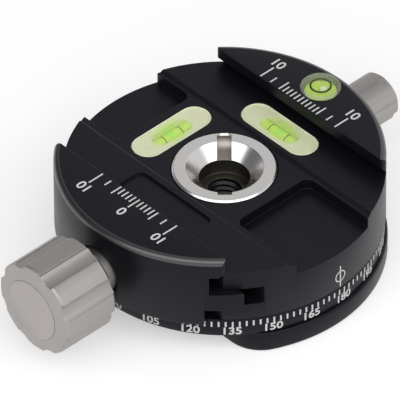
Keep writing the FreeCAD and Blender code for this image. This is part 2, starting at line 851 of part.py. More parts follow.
# Clamp knob: bead blasted metal, six scallops, a bevelled end and an inset disc
def make_clamp_knob():
    place = (-knob_back, 0, d.screw_height)
    face = d.knob_length
    outline = [
        (d.screw_radius + d.press_gap, 0),
        (d.knob_radius - d.knob_back_bevel, 0),
        (d.knob_radius, d.knob_back_bevel),
        (d.knob_radius, face - d.knob_bevel_length),
        (d.knob_radius - d.knob_bevel, face),
        (d.cap_radius + d.cap_groove, face),
        (d.cap_radius + d.cap_groove, face - d.cap_groove),
        (d.cap_radius + d.press_gap, face - d.cap_groove),
        (d.cap_radius + d.press_gap, face - d.cap_thick),
        (d.screw_radius + d.press_gap, face - d.cap_thick),
    ]
    scalloped_knob("clamp_knob", AGAINST_X, place, outline, d.knob_length,
                   d.scallop_radius, d.scallop_reach, d.scallop_count, d.scallop_turn)
    ring("knob_cap", d.cap_radius, None, d.cap_thick,
         (-knob_back - d.knob_length + d.cap_thick, 0, d.screw_height), AGAINST_X)


# Pan lock: a small knob whose screw presses a soft pad on the hub
def make_pan_lock():
    pad_start = d.hub_radius + d.pan_pad_gap
    screw_start = pad_start + d.pan_pad_length
    knob_start = pan_spot + d.pan_knob_gap
    screw_length = knob_start + d.pan_knob_length - d.pan_cap_thick - screw_start
    ring("brake_pad", d.pan_pad_radius, None, d.pan_pad_length, (pad_start, 0, d.pan_height), ALONG_X)
    ring("pan_sleeve", d.pan_sleeve_radius, d.pan_screw_radius + d.run_fit, pan_spot - d.pan_sleeve_start,
         (d.pan_sleeve_start, 0, d.pan_height), ALONG_X)
    ring("pan_screw", d.pan_screw_radius, None, screw_length, (screw_start, 0, d.pan_height), ALONG_X)
    bore = d.pan_screw_radius + d.press_gap
    face = d.pan_knob_length
    outline = [
        (bore, 0),
        (d.pan_knob_radius - d.pan_knob_bevel, 0),
        (d.pan_knob_radius, d.pan_knob_bevel),
        (d.pan_knob_radius, face - d.pan_knob_bevel),
        (d.pan_knob_radius - d.pan_knob_bevel, face),
        (d.pan_cap_radius + d.press_gap, face),
        (d.pan_cap_radius + d.press_gap, face - d.pan_cap_thick),
        (bore, face - d.pan_cap_thick),
    ]
    scalloped_knob("pan_knob", ALONG_X, (knob_start, 0, d.pan_height), outline, face,
                   d.pan_scallop_radius, d.pan_scallop_reach, d.pan_scallop_count, 0)
    ring("pan_cap", d.pan_cap_radius, None, d.pan_cap_thick,
         (knob_start + face - d.pan_cap_thick, 0, d.pan_height), ALONG_X)


# Tube level: a frosted block with a bored tube of liquid, closed by a plug
def make_vial(name, along_x, place):
    turn = FreeCAD.Rotation() if along_x else FreeCAD.Rotation(FreeCAD.Vector(0, 0, 1), 90)
    block = new_body(name + "_block", turn, place)
    outline = new_sketch(block, "XY_Plane")
    draw_stadium(outline, d.vial_half, d.vial_radius, 0, 0, True)
    pad(block, outline, d.vial_thick)
    bore = new_sketch(block, "YZ_Plane", -d.vial_bore_half)
    draw_circle(bore, d.vial_bore, 0, d.vial_tube_rise)
    pocket(block, bore, TOOL_REACH, up=True)
    for label, start, length in (
        ("_liquid", -d.vial_bore_half, d.vial_bore_half * 2),
        ("_plug", d.vial_bore_half, d.vial_plug),
    ):
        piece = new_body(name + label, turn, place)
        sketch = new_sketch(piece, "YZ_Plane", start)
        draw_circle(sketch, d.vial_bore - d.press_gap, 0, d.vial_tube_rise)
        pad(piece, sketch, length)


# Round level in the fixed jaw: a cup, its liquid and its clear lens
def make_bull_level():
    bottom = jaw_top - d.bull_thick
    place = (bull_place, d.level_shift, bottom)
    cup = new_body("bull_cup", move=place)
    profile = new_sketch(cup, "XZ_Plane")
    inner = d.bull_radius - d.bull_wall
    draw_outline(profile, [
        (0, 0),
        (d.bull_radius, 0),
        (d.bull_radius, d.bull_thick),
        (inner, d.bull_thick),
        (inner, d.bull_floor),
        (0, d.bull_floor),
    ])
    turned(cup, profile)
    liquid_height = d.bull_thick - d.bull_floor - d.bull_lens
    for label, height, above in (
        ("bull_liquid", liquid_height, d.bull_floor),
        ("bull_lens", d.bull_lens, d.bull_floor + liquid_height),
    ):
        ring(label, inner - d.press_gap, None, height, (bull_place, d.level_shift, bottom + above))


make_base_plate()
make_degree_disc()
make_base_screws()
make_spindle()
make_washers()
make_clamp_body()
make_screw_insert()
make_guide_pins()
make_vial("vial_x", True, (0, d.vial_x_place, floor_top - d.vial_thick))
make_vial("vial_y", False, (d.vial_y_place, d.level_shift, seat_top - d.vial_thick))
make_bull_level()
make_moving_jaw()
make_jaw_springs()
make_clamp_screw()
make_clamp_knob()
make_pan_lock()
doc.recompute()

os.makedirs("parts", exist_ok=True)
for item in doc.Objects:
    if "Invalid" in item.State or "Error" in item.State:
        raise RuntimeError("%s did not recompute" % item.Label)
kept = [item for item in doc.Objects if item.TypeId in ("PartDesign::Body", "Part::Feature")]
for item in kept:
    if item.Shape.isNull() or not item.Shape.isValid():
        raise RuntimeError("%s has no valid shape" % item.Label)
for item in kept:
    item.Shape.exportStep("parts/%s.step" % item.Label)
print(len(kept), "sub-parts written")
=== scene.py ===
import math

import bmesh
import bpy
from mathutils import Matrix, Quaternion, Vector


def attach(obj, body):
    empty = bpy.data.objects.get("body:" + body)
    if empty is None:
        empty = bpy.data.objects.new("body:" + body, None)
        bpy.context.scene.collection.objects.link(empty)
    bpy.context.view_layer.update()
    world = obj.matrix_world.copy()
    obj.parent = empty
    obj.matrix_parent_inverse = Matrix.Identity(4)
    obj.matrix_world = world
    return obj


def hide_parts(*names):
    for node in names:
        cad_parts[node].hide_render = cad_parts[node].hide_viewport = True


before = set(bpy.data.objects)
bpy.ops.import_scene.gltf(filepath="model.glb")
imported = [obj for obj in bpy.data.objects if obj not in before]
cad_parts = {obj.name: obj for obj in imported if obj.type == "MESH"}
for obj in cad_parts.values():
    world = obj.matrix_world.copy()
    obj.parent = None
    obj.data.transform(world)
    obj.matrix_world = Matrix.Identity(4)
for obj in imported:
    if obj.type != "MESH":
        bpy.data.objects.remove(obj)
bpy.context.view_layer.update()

# Base plate: the lowest disc, turned and milled from aluminium and anodised black.
# One side is cut straight so that fingers reach the clamp knob. Its hub carries the
# clamp, and the tripod's screw goes up into the threaded socket from below.
MM = 0.001
BASE_RADIUS = 30.35
BASE_THICK = 4.3
BASE_FLAT = 17.6
HUB_RADIUS = 10.4
HUB_TOP = 14.75
SOCKET_RADIUS = 4.7625
SOCKET_TOP = 9.0
SOCKET_PITCH = 1.5875
THROUGH_RADIUS = 3.175
SHANK_RADIUS = 7.22
SHANK_BOTTOM = 9.65
SOCKET_BEVEL = 0.45
SOCKET_THREAD = 0.75
THREAD_INSET = 0.9
FOOT_ROUND = 0.6
BASE_TOP_ROUND = 0.5
BASE_CORNER = 7.5
SCREW_PLACE = 20.0 / math.sqrt(2)
SCREW_HOLE_RADIUS = 2.35
SCREW_HOLE_DEPTH = 1.8
WELD = 0.0005
CUT_WELD = 0.002
BLACK = (0.0052, 0.0052, 0.0072, 1)
# The edges' lighter colour: partly rubbed wear, partly a painted highlight along the edges.
WORN_AND_HIGHLIT_BLACK = (0.06, 0.06, 0.065, 1)


def spun(outline, steps=256):
    """A closed outline of radius and height pairs, in millimetres, spun about Z."""
    shape = bmesh.new()
    points = [shape.verts.new((radius * MM, 0, height * MM)) for radius, height in outline]
    lines = [shape.edges.new(pair) for pair in zip(points, points[1:] + points[:1])]
    bmesh.ops.spin(shape, geom=points + lines, cent=(0, 0, 0), axis=(0, 0, 1),
                   angle=2 * math.pi, steps=steps, use_merge=True)
    bmesh.ops.remove_doubles(shape, verts=shape.verts, dist=WELD * MM)
    bmesh.ops.dissolve_degenerate(shape, edges=shape.edges, dist=WELD * MM)
    bmesh.ops.recalc_face_normals(shape, faces=shape.faces)
    return shape


def round_rim(shape, radius, height, amount, segments):
    """Rounds the circular edge found at a radius and height."""
    def on_rim(vert):
        return (abs(vert.co.xy.length - radius * MM) < 0.01 * MM
                and abs(vert.co.z - height * MM) < 0.01 * MM)
    rim = [edge for edge in shape.edges if on_rim(edge.verts[0]) and on_rim(edge.verts[1])]
    bmesh.ops.bevel(shape, geom=rim, offset=amount * MM, offset_type="OFFSET", segments=segments,
                    profile=0.5, affect="EDGES", material=-1)
    return shape


def block(low, high):
    """A box between two corners, in millimetres."""
    shape = bmesh.new()
    bmesh.ops.create_cube(shape, size=1)
    low, high = Vector(low) * MM, Vector(high) * MM
    bmesh.ops.scale(shape, vec=high - low, verts=shape.verts)
    bmesh.ops.translate(shape, vec=(low + high) / 2, verts=shape.verts)
    return shape


def round_corners(shape, amount, chosen, segments=8):
    """Rounds the upright edges whose middle passes a test, in millimetres."""
    edges = []
    for edge in shape.edges:
        span = edge.verts[1].co - edge.verts[0].co
        middle = (edge.verts[0].co + edge.verts[1].co) / 2 / MM
        if abs(span.z) > 0.2 * MM and span.xy.length < 0.01 * MM and chosen(middle):
            edges.append(edge)
    bmesh.ops.bevel(shape, geom=edges, offset=amount * MM, offset_type="OFFSET", segments=segments,
                    profile=0.5, affect="EDGES", material=-1)
    return shape


def rod(radius, length, place, toward="Z", segments=96):
    """A cylinder that starts at a place and runs along X or Z, in millimetres."""
    shape = bmesh.new()
    bmesh.ops.create_cone(shape, cap_ends=True, segments=segments, radius1=radius * MM,
                          radius2=radius * MM, depth=length * MM)
    bmesh.ops.translate(shape, vec=(0, 0, length / 2 * MM), verts=shape.verts)
    if toward == "X":
        bmesh.ops.rotate(shape, cent=(0, 0, 0), matrix=Matrix.Rotation(math.pi / 2, 3, "Y"),
                         verts=shape.verts)
    bmesh.ops.translate(shape, vec=Vector(place) * MM, verts=shape.verts)
    return shape


def as_object(shape, name="shape"):
    """Puts a shape in the scene as an object at the origin."""
    mesh = bpy.data.meshes.new(name)
    shape.to_mesh(mesh)
    shape.free()
    item = bpy.data.objects.new(name, mesh)
    bpy.context.scene.collection.objects.link(item)
    return item


def carve(shape, cutters):
    """Cuts a shape with others, as a mill or a drill would."""
    stock = as_object(shape)
    tools = [as_object(cutter, "tool") for cutter in cutters]
    for tool in tools:
        step = stock.modifiers.new("cut", "BOOLEAN")
        step.operation = "DIFFERENCE"
        step.solver = "EXACT"
        step.object = tool
    graph = bpy.context.evaluated_depsgraph_get()
    mesh = bpy.data.meshes.new_from_object(stock.evaluated_get(graph))
    carved = bmesh.new()
    carved.from_mesh(mesh)
    for item in [stock] + tools:
        bpy.data.objects.remove(item)
    bmesh.ops.remove_doubles(carved, verts=carved.verts, dist=CUT_WELD * MM)
    bmesh.ops.dissolve_degenerate(carved, edges=carved.edges, dist=CUT_WELD * MM)
    return carved


def joined(*shapes):
    """Several shapes kept together as one."""
    whole = bmesh.new()
    for shape in shapes:
        mesh = bpy.data.meshes.new("part")
        shape.to_mesh(mesh)
        shape.free()
        whole.from_mesh(mesh)
        bpy.data.meshes.remove(mesh)
    return whole


THREAD_STEPS = 48
THREAD_ROOT = 0.05
THREAD_HALF = 0.42
THREAD_CREST = 0.07


def thread(radius, depth, pitch, bottom, top):
    """A helical ridge on a bore's wall, its root sunk a little into the wall."""
    root, crest = radius + THREAD_ROOT, radius - depth
    turns = (top - bottom) / pitch
    shape = bmesh.new()
    outline = [(root, -pitch * THREAD_HALF), (crest, -pitch * THREAD_CREST),
               (crest, pitch * THREAD_CREST), (root, pitch * THREAD_HALF)]
    points = [shape.verts.new((r * MM, 0, (bottom + h) * MM)) for r, h in outline]
    lines = [shape.edges.new(pair) for pair in zip(points, points[1:] + points[:1])]
    count = int(turns * THREAD_STEPS)
    bmesh.ops.spin(shape, geom=points + lines, cent=(0, 0, 0), axis=(0, 0, 1),
                   dvec=(0, 0, (top - bottom) / count * MM), angle=turns * 2 * math.pi, steps=count)
    ends = [edge for edge in shape.edges if edge.is_boundary]
    bmesh.ops.holes_fill(shape, edges=ends, sides=4)
    bmesh.ops.recalc_face_normals(shape, faces=shape.faces)
    return shape


def finish_piece(name, shape, material, body, nodes=(), edge=0.12, sharp=32):
    """Names a shape, breaks its sharp edges and sets it on its moving body."""
    piece = as_object(shape, name)
    piece.data.shade_smooth()
    piece.data.set_sharp_from_angle(angle=math.radians(sharp))
    piece.data.materials.append(material)
    if edge:
        broken = piece.modifiers.new("broken edges", "BEVEL")
        broken.width = edge * MM
        broken.segments = 2
        broken.limit_method = "ANGLE"
        broken.angle_limit = math.radians(sharp)
        broken.use_clamp_overlap = False
        broken.harden_normals = True
    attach(piece, body)
    if nodes:
        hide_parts(*nodes)
    return piece


def new_group(name, inputs, outputs):
    """An empty shader node group with its named sockets."""
    group = bpy.data.node_groups.new(name, "ShaderNodeTree")
    for label, kind, value in inputs:
        socket = group.interface.new_socket(label, in_out="INPUT", socket_type=kind)
        socket.default_value = value
    for label, kind in outputs:
        group.interface.new_socket(label, in_out="OUTPUT", socket_type=kind)
    return group, group.nodes.new("NodeGroupInput"), group.nodes.new("NodeGroupOutput")


def node_of(nodes, kind, **settings):
    """A new shader node with its own settings."""
    node = nodes.new(kind)
    for name, value in settings.items():
        setattr(node, name, value)
    return node


def give(link, socket, value):
    """Links a socket to another one, or sets it to a plain value."""
    if isinstance(value, bpy.types.NodeSocket):
        link(value, socket)
    else:
        socket.default_value = value


def feed(link, node, **values):
    """Gives a node's inputs their values by name, with an underscore for each space."""
    for name, value in values.items():
        give(link, node.inputs[name.replace("_", " ")], value)


def map_range(nodes, link, value, span, result=(0.0, 1.0), kind="LINEAR"):
    """A value taken from one span on to another."""
    node = node_of(nodes, "ShaderNodeMapRange", interpolation_type=kind)
    feed(link, node, Value=value, From_Min=span[0], From_Max=span[1], To_Min=result[0], To_Max=result[1])
    return node.outputs["Result"]


def mixed(nodes, link, factor, first, second):
    """Two colours mixed by a factor."""
    node = node_of(nodes, "ShaderNodeMix", data_type="RGBA")
    feed(link, node, Factor=factor, A=first, B=second)
    return node.outputs["Result"]


def worked_out(nodes, link, operation, first, second):
    """The result of one operation on two numbers."""
    node = node_of(nodes, "ShaderNodeMath", operation=operation)
    give(link, node.inputs[0], first)
    give(link, node.inputs[1], second)
    return node.outputs["Value"]


def agreement(nodes, link, first, second):
    """How far two directions agree, from -1 to 1."""
    node = node_of(nodes, "ShaderNodeVectorMath", operation="DOT_PRODUCT")
    give(link, node.inputs[0], first)
    give(link, node.inputs[1], second)
    return node.outputs["Value"]


def noise(nodes, link, scale, detail, roughness=0.5):
    """Cloudy noise over the object, from 0 to 1."""
    node = nodes.new("ShaderNodeTexNoise")
    place = nodes.new("ShaderNodeTexCoord").outputs["Object"]
    feed(link, node, Vector=place, Scale=scale, Detail=detail, Roughness=roughness)
    return node.outputs["Fac"]


def relief(nodes, link, surface, height, distance):
    """Fine relief on a surface, its depth in metres."""
    node = nodes.new("ShaderNodeBump")
    feed(link, node, Height=height, Distance=distance)
    link(node.outputs["Normal"], surface.inputs["Normal"])


def shaded(tone, amount):
    """A colour made darker or lighter by an amount, its alpha kept at 1."""
    return [channel * amount for channel in tone[:3]] + [1]


def new_material(name, **values):
    """A material with the shader's inputs set: its surface, nodes and link function too."""
    material = bpy.data.materials.new(name)
    material.use_nodes = True
    nodes, link = material.node_tree.nodes, material.node_tree.links.new
    surface = nodes["Principled BSDF"]
    feed(link, surface, **values)
    return material, surface, nodes, link


def edge_wear_and_highlight_group():
    """A mask of edges rubbed by hands and bags and lightened as a painted highlight along them: Size is how
    wide, Amount how strong.
    """
    group, given, made = new_group("edge wear and painted highlight", [
        ("Size", "NodeSocketFloat", 0.0002), ("Amount", "NodeSocketFloat", 0.6),
        ("Patch scale", "NodeSocketFloat", 300.0)], [("Mask", "NodeSocketFloat")])
    nodes, link = group.nodes, group.links.new
    softened = node_of(nodes, "ShaderNodeBevel", samples=6)
    link(given.outputs["Size"], softened.inputs["Radius"])
    true_normal = nodes.new("ShaderNodeNewGeometry").outputs["Normal"]
    agreed = agreement(nodes, link, softened.outputs["Normal"], true_normal)
    turned_away = map_range(nodes, link, agreed, (0.99, 0.86))
    patches = noise(nodes, link, given.outputs["Patch scale"], 5)
    uneven = map_range(nodes, link, patches, (0.3, 0.7), (0.35, 1))
    worn_and_highlit = worked_out(nodes, link, "MULTIPLY", turned_away, uneven)
    strength = worked_out(nodes, link, "MULTIPLY", worn_and_highlit, given.outputs["Amount"])
    link(strength, made.inputs["Mask"])
    return group


def grain_group():
    """Fine pits of bead blasting, with slow cloudy variation over the whole surface."""
    group, given, made = new_group("blasted grain", [
        ("Grain scale", "NodeSocketFloat", 5000.0), ("Cloud scale", "NodeSocketFloat", 60.0)],
        [("Height", "NodeSocketFloat"), ("Cloud", "NodeSocketFloat")])
    nodes, link = group.nodes, group.links.new
    link(noise(nodes, link, given.outputs["Grain scale"], 3, 0.7), made.inputs["Height"])
    link(noise(nodes, link, given.outputs["Cloud scale"], 4), made.inputs["Cloud"])
    return group


EDGE_WEAR_AND_HIGHLIGHT = edge_wear_and_highlight_group()
GRAIN = grain_group()
SLOW_CLOUDS = 60.0
WEAR_AND_HIGHLIGHT_SIZE = 0.00018


def grained(nodes, link, grain_scale, cloud_scale):
    """The grain group's pits and clouds, at their scales."""
    pits = node_of(nodes, "ShaderNodeGroup", node_tree=GRAIN)
    feed(link, pits, Grain_scale=grain_scale, Cloud_scale=cloud_scale)
    return pits.outputs["Height"], pits.outputs["Cloud"]


def metal(name, colour, worn_and_highlit_colour, metallic, roughness, spread, grain, depth, wear_and_highlight, specular=0.5,
          tint=(1, 1, 1, 1)):
    """A blasted or anodised metal: colour, sheen spread, pits, and edges lightened by rubbed wear and a
    painted highlight.
    """
    material, surface, nodes, link = new_material(
        name, Metallic=metallic, Specular_IOR_Level=specular, Specular_Tint=tint)
    pits, clouds = grained(nodes, link, grain, SLOW_CLOUDS)
    rubbed_and_highlit = node_of(nodes, "ShaderNodeGroup", node_tree=EDGE_WEAR_AND_HIGHLIGHT)
    feed(link, rubbed_and_highlit, Size=WEAR_AND_HIGHLIGHT_SIZE, Amount=wear_and_highlight)
    tone = mixed(nodes, link, clouds, shaded(colour, 0.86), shaded(colour, 1.14))
    # Edges take the lighter colour: rubbed wear and a painted highlight along them.
    worn_and_highlit = mixed(nodes, link, rubbed_and_highlit.outputs["Mask"], tone, worn_and_highlit_colour)
    gloss = map_range(nodes, link, clouds, (0.3, 0.7), (roughness - spread, roughness + spread))
    feed(link, surface, Base_Color=worn_and_highlit, Roughness=gloss)
    relief(nodes, link, surface, pits, depth)
    return material


black_anodised = metal("black anodised aluminium", BLACK, WORN_AND_HIGHLIT_BLACK, metallic=0.0, roughness=0.36,
                       spread=0.05, grain=5200.0, depth=0.000003, wear_and_highlight=0.5, specular=0.19,
                       tint=(0.8, 0.845, 1, 1))


def straight_side(shape, radius, flat, corner, band=2):
    """Draws a disc's rim, a band in millimetres, in to one straight side with rounded corners."""
    middle = Vector((corner - flat, math.sqrt((radius - corner) ** 2 - (flat - corner) ** 2)))
    first = math.atan2(middle.y, middle.x)
    for vert in shape.verts:
        across = vert.co.xy.length / MM
        turn = abs(math.atan2(vert.co.y, vert.co.x))
        if across < radius - band or turn <= first:
            continue
        reach = flat / -math.cos(turn)
        if flat * math.tan(math.pi - turn) > middle.y:
            along = middle.x * math.cos(turn) + middle.y * math.sin(turn)
            reach = along + math.sqrt(along ** 2 - middle.length ** 2 + corner ** 2)
        vert.co.xy *= (across - radius + reach) / across
    bmesh.ops.recalc_face_normals(shape, faces=shape.faces)
    return shape


base = spun([
    (THROUGH_RADIUS, SOCKET_TOP), (SOCKET_RADIUS, SOCKET_TOP), (SOCKET_RADIUS, SOCKET_BEVEL),
    (SOCKET_RADIUS + SOCKET_BEVEL, 0), (BASE_RADIUS, 0), (BASE_RADIUS, BASE_THICK),
    (HUB_RADIUS, BASE_THICK), (HUB_RADIUS, HUB_TOP), (SHANK_RADIUS, HUB_TOP),
    (SHANK_RADIUS, SHANK_BOTTOM), (THROUGH_RADIUS, SHANK_BOTTOM)])
round_rim(base, BASE_RADIUS, 0, FOOT_ROUND, 3)
round_rim(base, BASE_RADIUS, BASE_THICK, BASE_TOP_ROUND, 4)
straight_side(base, BASE_RADIUS, BASE_FLAT, BASE_CORNER)
screw_holes = [rod(SCREW_HOLE_RADIUS, SCREW_HOLE_DEPTH + 1, (SCREW_PLACE * side_x, SCREW_PLACE * side_y, -1))
               for side_x in (1, -1) for side_y in (1, -1)]
base = carve(base, screw_holes)
base = joined(base, thread(SOCKET_RADIUS, SOCKET_THREAD, SOCKET_PITCH, THREAD_INSET,
                           SOCKET_TOP - THREAD_INSET))
finish_piece("base_disc", base, black_anodised, "base", ["base_plate"])

# Degree disc: a full round aluminium ring screwed on the base, anodised black. Its rim
# carries white lasered ticks every 2.5 degrees, and a number under every sixth tick.
DISC_RADIUS = 29.8
DISC_BOTTOM = 4.3
DISC_TOP = 8.25
TICK_STEP = 2.5
NUMBER_STEP = 15
NUMBER_TURN = 265.5
DISC_GAP = 0.02
DISC_ROUND = 0.25
TICK_WIDTH = 0.34
TICK_TOP = 7.75
SHORT_TICK = 1.2
LONG_TICK = 1.75
NUMBER_SIZE = 2.35
NUMBER_WEIGHT = 0.055
NUMBER_STRETCH = 1.12
NUMBER_HEIGHT = 5.55
INK_RISE = 0.02
INK = (0.70, 0.70, 0.70, 1)

disc = spun([(HUB_RADIUS + DISC_GAP, DISC_BOTTOM), (DISC_RADIUS, DISC_BOTTOM),
             (DISC_RADIUS, DISC_TOP), (HUB_RADIUS + DISC_GAP, DISC_TOP)])
round_rim(disc, DISC_RADIUS, DISC_BOTTOM, DISC_ROUND, 2)
round_rim(disc, DISC_RADIUS, DISC_TOP, DISC_ROUND, 2)
finish_piece("degree_ring", disc, black_anodised, "base", ["degree_disc"])


def white_ink():
    """Lasered white marking: matte, a little uneven, thin at places."""
    material, surface, nodes, link = new_material("white marking", Roughness=0.65)
    pits, clouds = grained(nodes, link, 2600.0, 420.0)
    feed(link, surface, Base_Color=mixed(nodes, link, clouds, shaded(INK, 0.72), INK))
    relief(nodes, link, surface, pits, 0.000004)
    return material


marking = white_ink()


def digits(text, size, weight):
    """A number as a thin flat shape lying on X and Y, centred at the origin."""
    curve = bpy.data.curves.new("digits", "FONT")
    curve.body = text
    curve.size = size * MM
    curve.align_x = "CENTER"
    curve.align_y = "CENTER"
    curve.offset = weight * MM
    curve.extrude = INK_RISE * MM
    curve.resolution_u = 4
    writing = bpy.data.objects.new("digits", curve)
    bpy.context.scene.collection.objects.link(writing)
    graph = bpy.context.evaluated_depsgraph_get()
    mesh = bpy.data.meshes.new_from_object(writing.evaluated_get(graph))
    bpy.data.objects.remove(writing)
    shape = bmesh.new()
    shape.from_mesh(mesh)
    bmesh.ops.remove_doubles(shape, verts=shape.verts, dist=WELD * MM)
    middle = Vector([(min(v.co[i] for v in shape.verts) + max(v.co[i] for v in shape.verts)) / 2
                     for i in range(2)] + [0])
    bmesh.ops.translate(shape, vec=-middle, verts=shape.verts)
    return shape


def stroke(width, length):
    """A thin bar lying on X and Y, its length along Y, centred at the origin."""
    return block((-width / 2, -length / 2, -INK_RISE), (width / 2, length / 2, INK_RISE))


def wrap(shape, radius, angle, height):
    """Bends a flat shape round the Z axis: its X runs round, its Y stands up."""
    for vert in shape.verts:
        turn = math.radians(angle) + vert.co.x / (radius * MM)
        out = radius * MM + vert.co.z
        vert.co = Vector((out * math.cos(turn), out * math.sin(turn), height * MM + vert.co.y))
    return shape


degree_marks = []
for step in range(round(360 / TICK_STEP)):
    degrees = step * TICK_STEP
    numbered = degrees % NUMBER_STEP == 0
    length = LONG_TICK if numbered else SHORT_TICK
    turn = degrees - NUMBER_TURN
    degree_marks.append(wrap(stroke(TICK_WIDTH, length), DISC_RADIUS, turn, TICK_TOP - length / 2))
    if numbered:
        number = digits("%d" % degrees, NUMBER_SIZE, NUMBER_WEIGHT)
        bmesh.ops.scale(number, vec=(NUMBER_STRETCH, 1, 1), verts=number.verts)
        degree_marks.append(wrap(number, DISC_RADIUS, turn, NUMBER_HEIGHT))
finish_piece("degree_marks", joined(*degree_marks), marking, "base", edge=0)

# Clamp body: the turning disc, milled from one aluminium blank and anodised black. It has
# the fixed jaw with its undercut lip, the floor for the plate with three recesses, the
# pockets for the levels and the stepped slots in which the sliding jaw's tongue runs.
BODY_RADIUS = 30.0
BODY_BOTTOM = 8.35
SEAT_TOP = 19.85
FLOOR_TOP = 19.35
JAW_TOP = 24.0
SLOT_BOTTOM = 11.95
SLOT_TOP = 15.85
BODY_CUT = 20.8
SLOT_END = 14.6
FIXED_LIP = 18.9
LIP_LAND = 2.3
UNDERCUT = 1.85
TIP_ROUND = 0.8
CHANNEL_HALF = 10.6
SCREW_HEIGHT = 13.9
PAN_HEIGHT = 13.5
LEVEL_SHIFT = 0.6
BULL_PLACE = 25.2
BULL_POCKET = 3.95
BULL_DEPTH = 3.4
RIM_ROUND = 1.1
RIM_BAND = 1.08
FOOT_BREAK = 0.3
BEARING_GAP = 0.05
LEDGE_RADIUS = 7.3
LEDGE_BOTTOM = 15.25
LEDGE_TOP = 16.75
FLANGE_BORE = 10.0
RECESS_ENDS = (-8.8, 9.5)
RECESS_SIDES = ((-12.4, -40), (19.2, 40))
RECESS_FLOOR = 17.15
RECESS_ROUND = 1.7
TRAY_START = -12
TRAY_HALF = 9.8
TRAY_DEPTH = 0.5
TRAY_ROUND = 1.5
LEVEL_HALF = 5.85
LEVEL_RADIUS = 3.1
LEVEL_POCKET = 3.2
LEVEL_DEPTH = 3.5
LEVEL_X_PLACE = (0, 14.4)
LEVEL_Y_PLACE = (14.7, LEVEL_SHIFT)
PIN_PLACE = 13
PIN_BORE = 1.27
SPRING_PLACE = 15
SPRING_BORE = 1.55
SPRING_HEIGHT = 17.75


def drawn_out(points, way):
    """A flat outline drawn out along a way, all in millimetres."""
    shape = bmesh.new()
    face = shape.faces.new([shape.verts.new(Vector(point) * MM) for point in points])
    raised = bmesh.ops.extrude_face_region(shape, geom=[face])
    moved = [item for item in raised["geom"] if isinstance(item, bmesh.types.BMVert)]
    bmesh.ops.translate(shape, vec=Vector(way) * MM, verts=moved)
    bmesh.ops.recalc_face_normals(shape, faces=shape.faces)
    return shape


def bar(outline):
    """A milling cut right through along Y, drawn in X and Z."""
    return drawn_out([(x, -40, z) for x, z in outline], (0, 80, 0))


def tip_cuts(lip, way, centre=0.0):
    """The cuts that leave the tips at both ends of a jaw's lip round."""
    inset, reach = lip + TIP_ROUND, BODY_RADIUS - TIP_ROUND
    tip_y = math.sqrt(reach ** 2 - inset ** 2)
    slope = math.acos(inset / reach)
    cuts = []
    for side in (1, -1):
        outline = [(lip - 1, tip_y), (lip - 1, 40), (inset * BODY_RADIUS / reach, 40)]
        for step in range(13):
            turn = slope + (math.pi - slope) * step / 12
            outline.append((inset + TIP_ROUND * math.cos(turn), tip_y + TIP_ROUND * math.sin(turn)))
        points = [(centre + way * x, side * y, SEAT_TOP + 0.01) for x, y in outline]
        cuts.append(drawn_out(points, (0, 0, 10)))
    return cuts


def stadium(half, radius, low, high, place, along_x=True):
    """A block with half round ends, for the levels and their pockets."""
    shape = block((-half - radius, -radius, low), (half + radius, radius, high))
    round_corners(shape, radius * 0.999, lambda middle: True, 16)
    if not along_x:
        bmesh.ops.rotate(shape, cent=(0, 0, 0), matrix=Matrix.Rotation(math.pi / 2, 3, "Z"),
                         verts=shape.verts)
    bmesh.ops.translate(shape, vec=(place[0] * MM, place[1] * MM, 0), verts=shape.verts)
    return shape


def blank():
    """The turned disc from which the clamp and its sliding jaw are milled."""
    shape = spun([(0, BODY_BOTTOM), (BODY_RADIUS, BODY_BOTTOM), (BODY_RADIUS, JAW_TOP), (0, JAW_TOP)])
    round_rim(shape, BODY_RADIUS, JAW_TOP, RIM_ROUND, 6)
    return round_rim(shape, BODY_RADIUS, BODY_BOTTOM, FOOT_BREAK, 2)


body_cuts = [bar([
    (FIXED_LIP, JAW_TOP + 1), (FIXED_LIP, JAW_TOP - LIP_LAND), (FIXED_LIP + UNDERCUT, SEAT_TOP),
    (CHANNEL_HALF, SEAT_TOP), (CHANNEL_HALF - 0.5, FLOOR_TOP), (0.5 - CHANNEL_HALF, FLOOR_TOP),
    (-CHANNEL_HALF, SEAT_TOP), (-BODY_CUT, SEAT_TOP), (-BODY_CUT, SLOT_TOP),
    (-SLOT_END, SLOT_TOP), (-SLOT_END, SLOT_BOTTOM), (-BODY_CUT, SLOT_BOTTOM),
    (-BODY_CUT, BODY_BOTTOM - 1), (-40, BODY_BOTTOM - 1), (-40, JAW_TOP + 1)])]
body_cuts += tip_cuts(FIXED_LIP, 1)
body_cuts.append(spun([
    (0, BODY_BOTTOM - 1), (HUB_RADIUS + BEARING_GAP, BODY_BOTTOM - 1),
    (HUB_RADIUS + BEARING_GAP, LEDGE_BOTTOM), (LEDGE_RADIUS, LEDGE_BOTTOM),
    (LEDGE_RADIUS, LEDGE_TOP), (FLANGE_BORE, LEDGE_TOP), (FLANGE_BORE, JAW_TOP + 1),
    (0, JAW_TOP + 1)], 192))
for near_y, far_y in RECESS_SIDES:
    recess = block((RECESS_ENDS[0], min(near_y, far_y), RECESS_FLOOR),
                   (RECESS_ENDS[1], max(near_y, far_y), JAW_TOP + 1))
    body_cuts.append(round_corners(recess, RECESS_ROUND, lambda middle: abs(middle.y) < 30))
tray = block((-40, -TRAY_HALF, SEAT_TOP - TRAY_DEPTH), (TRAY_START, TRAY_HALF, SEAT_TOP + 1))
body_cuts.append(round_corners(tray, TRAY_ROUND, lambda middle: middle.x > -30))
body_cuts.append(stadium(LEVEL_HALF, LEVEL_POCKET, FLOOR_TOP - LEVEL_DEPTH, JAW_TOP, LEVEL_X_PLACE))
body_cuts.append(stadium(LEVEL_HALF, LEVEL_POCKET, SEAT_TOP - LEVEL_DEPTH, JAW_TOP + 1,
                         LEVEL_Y_PLACE, False))
body_cuts.append(rod(BULL_POCKET, 5, (BULL_PLACE, LEVEL_SHIFT, JAW_TOP - BULL_DEPTH)))

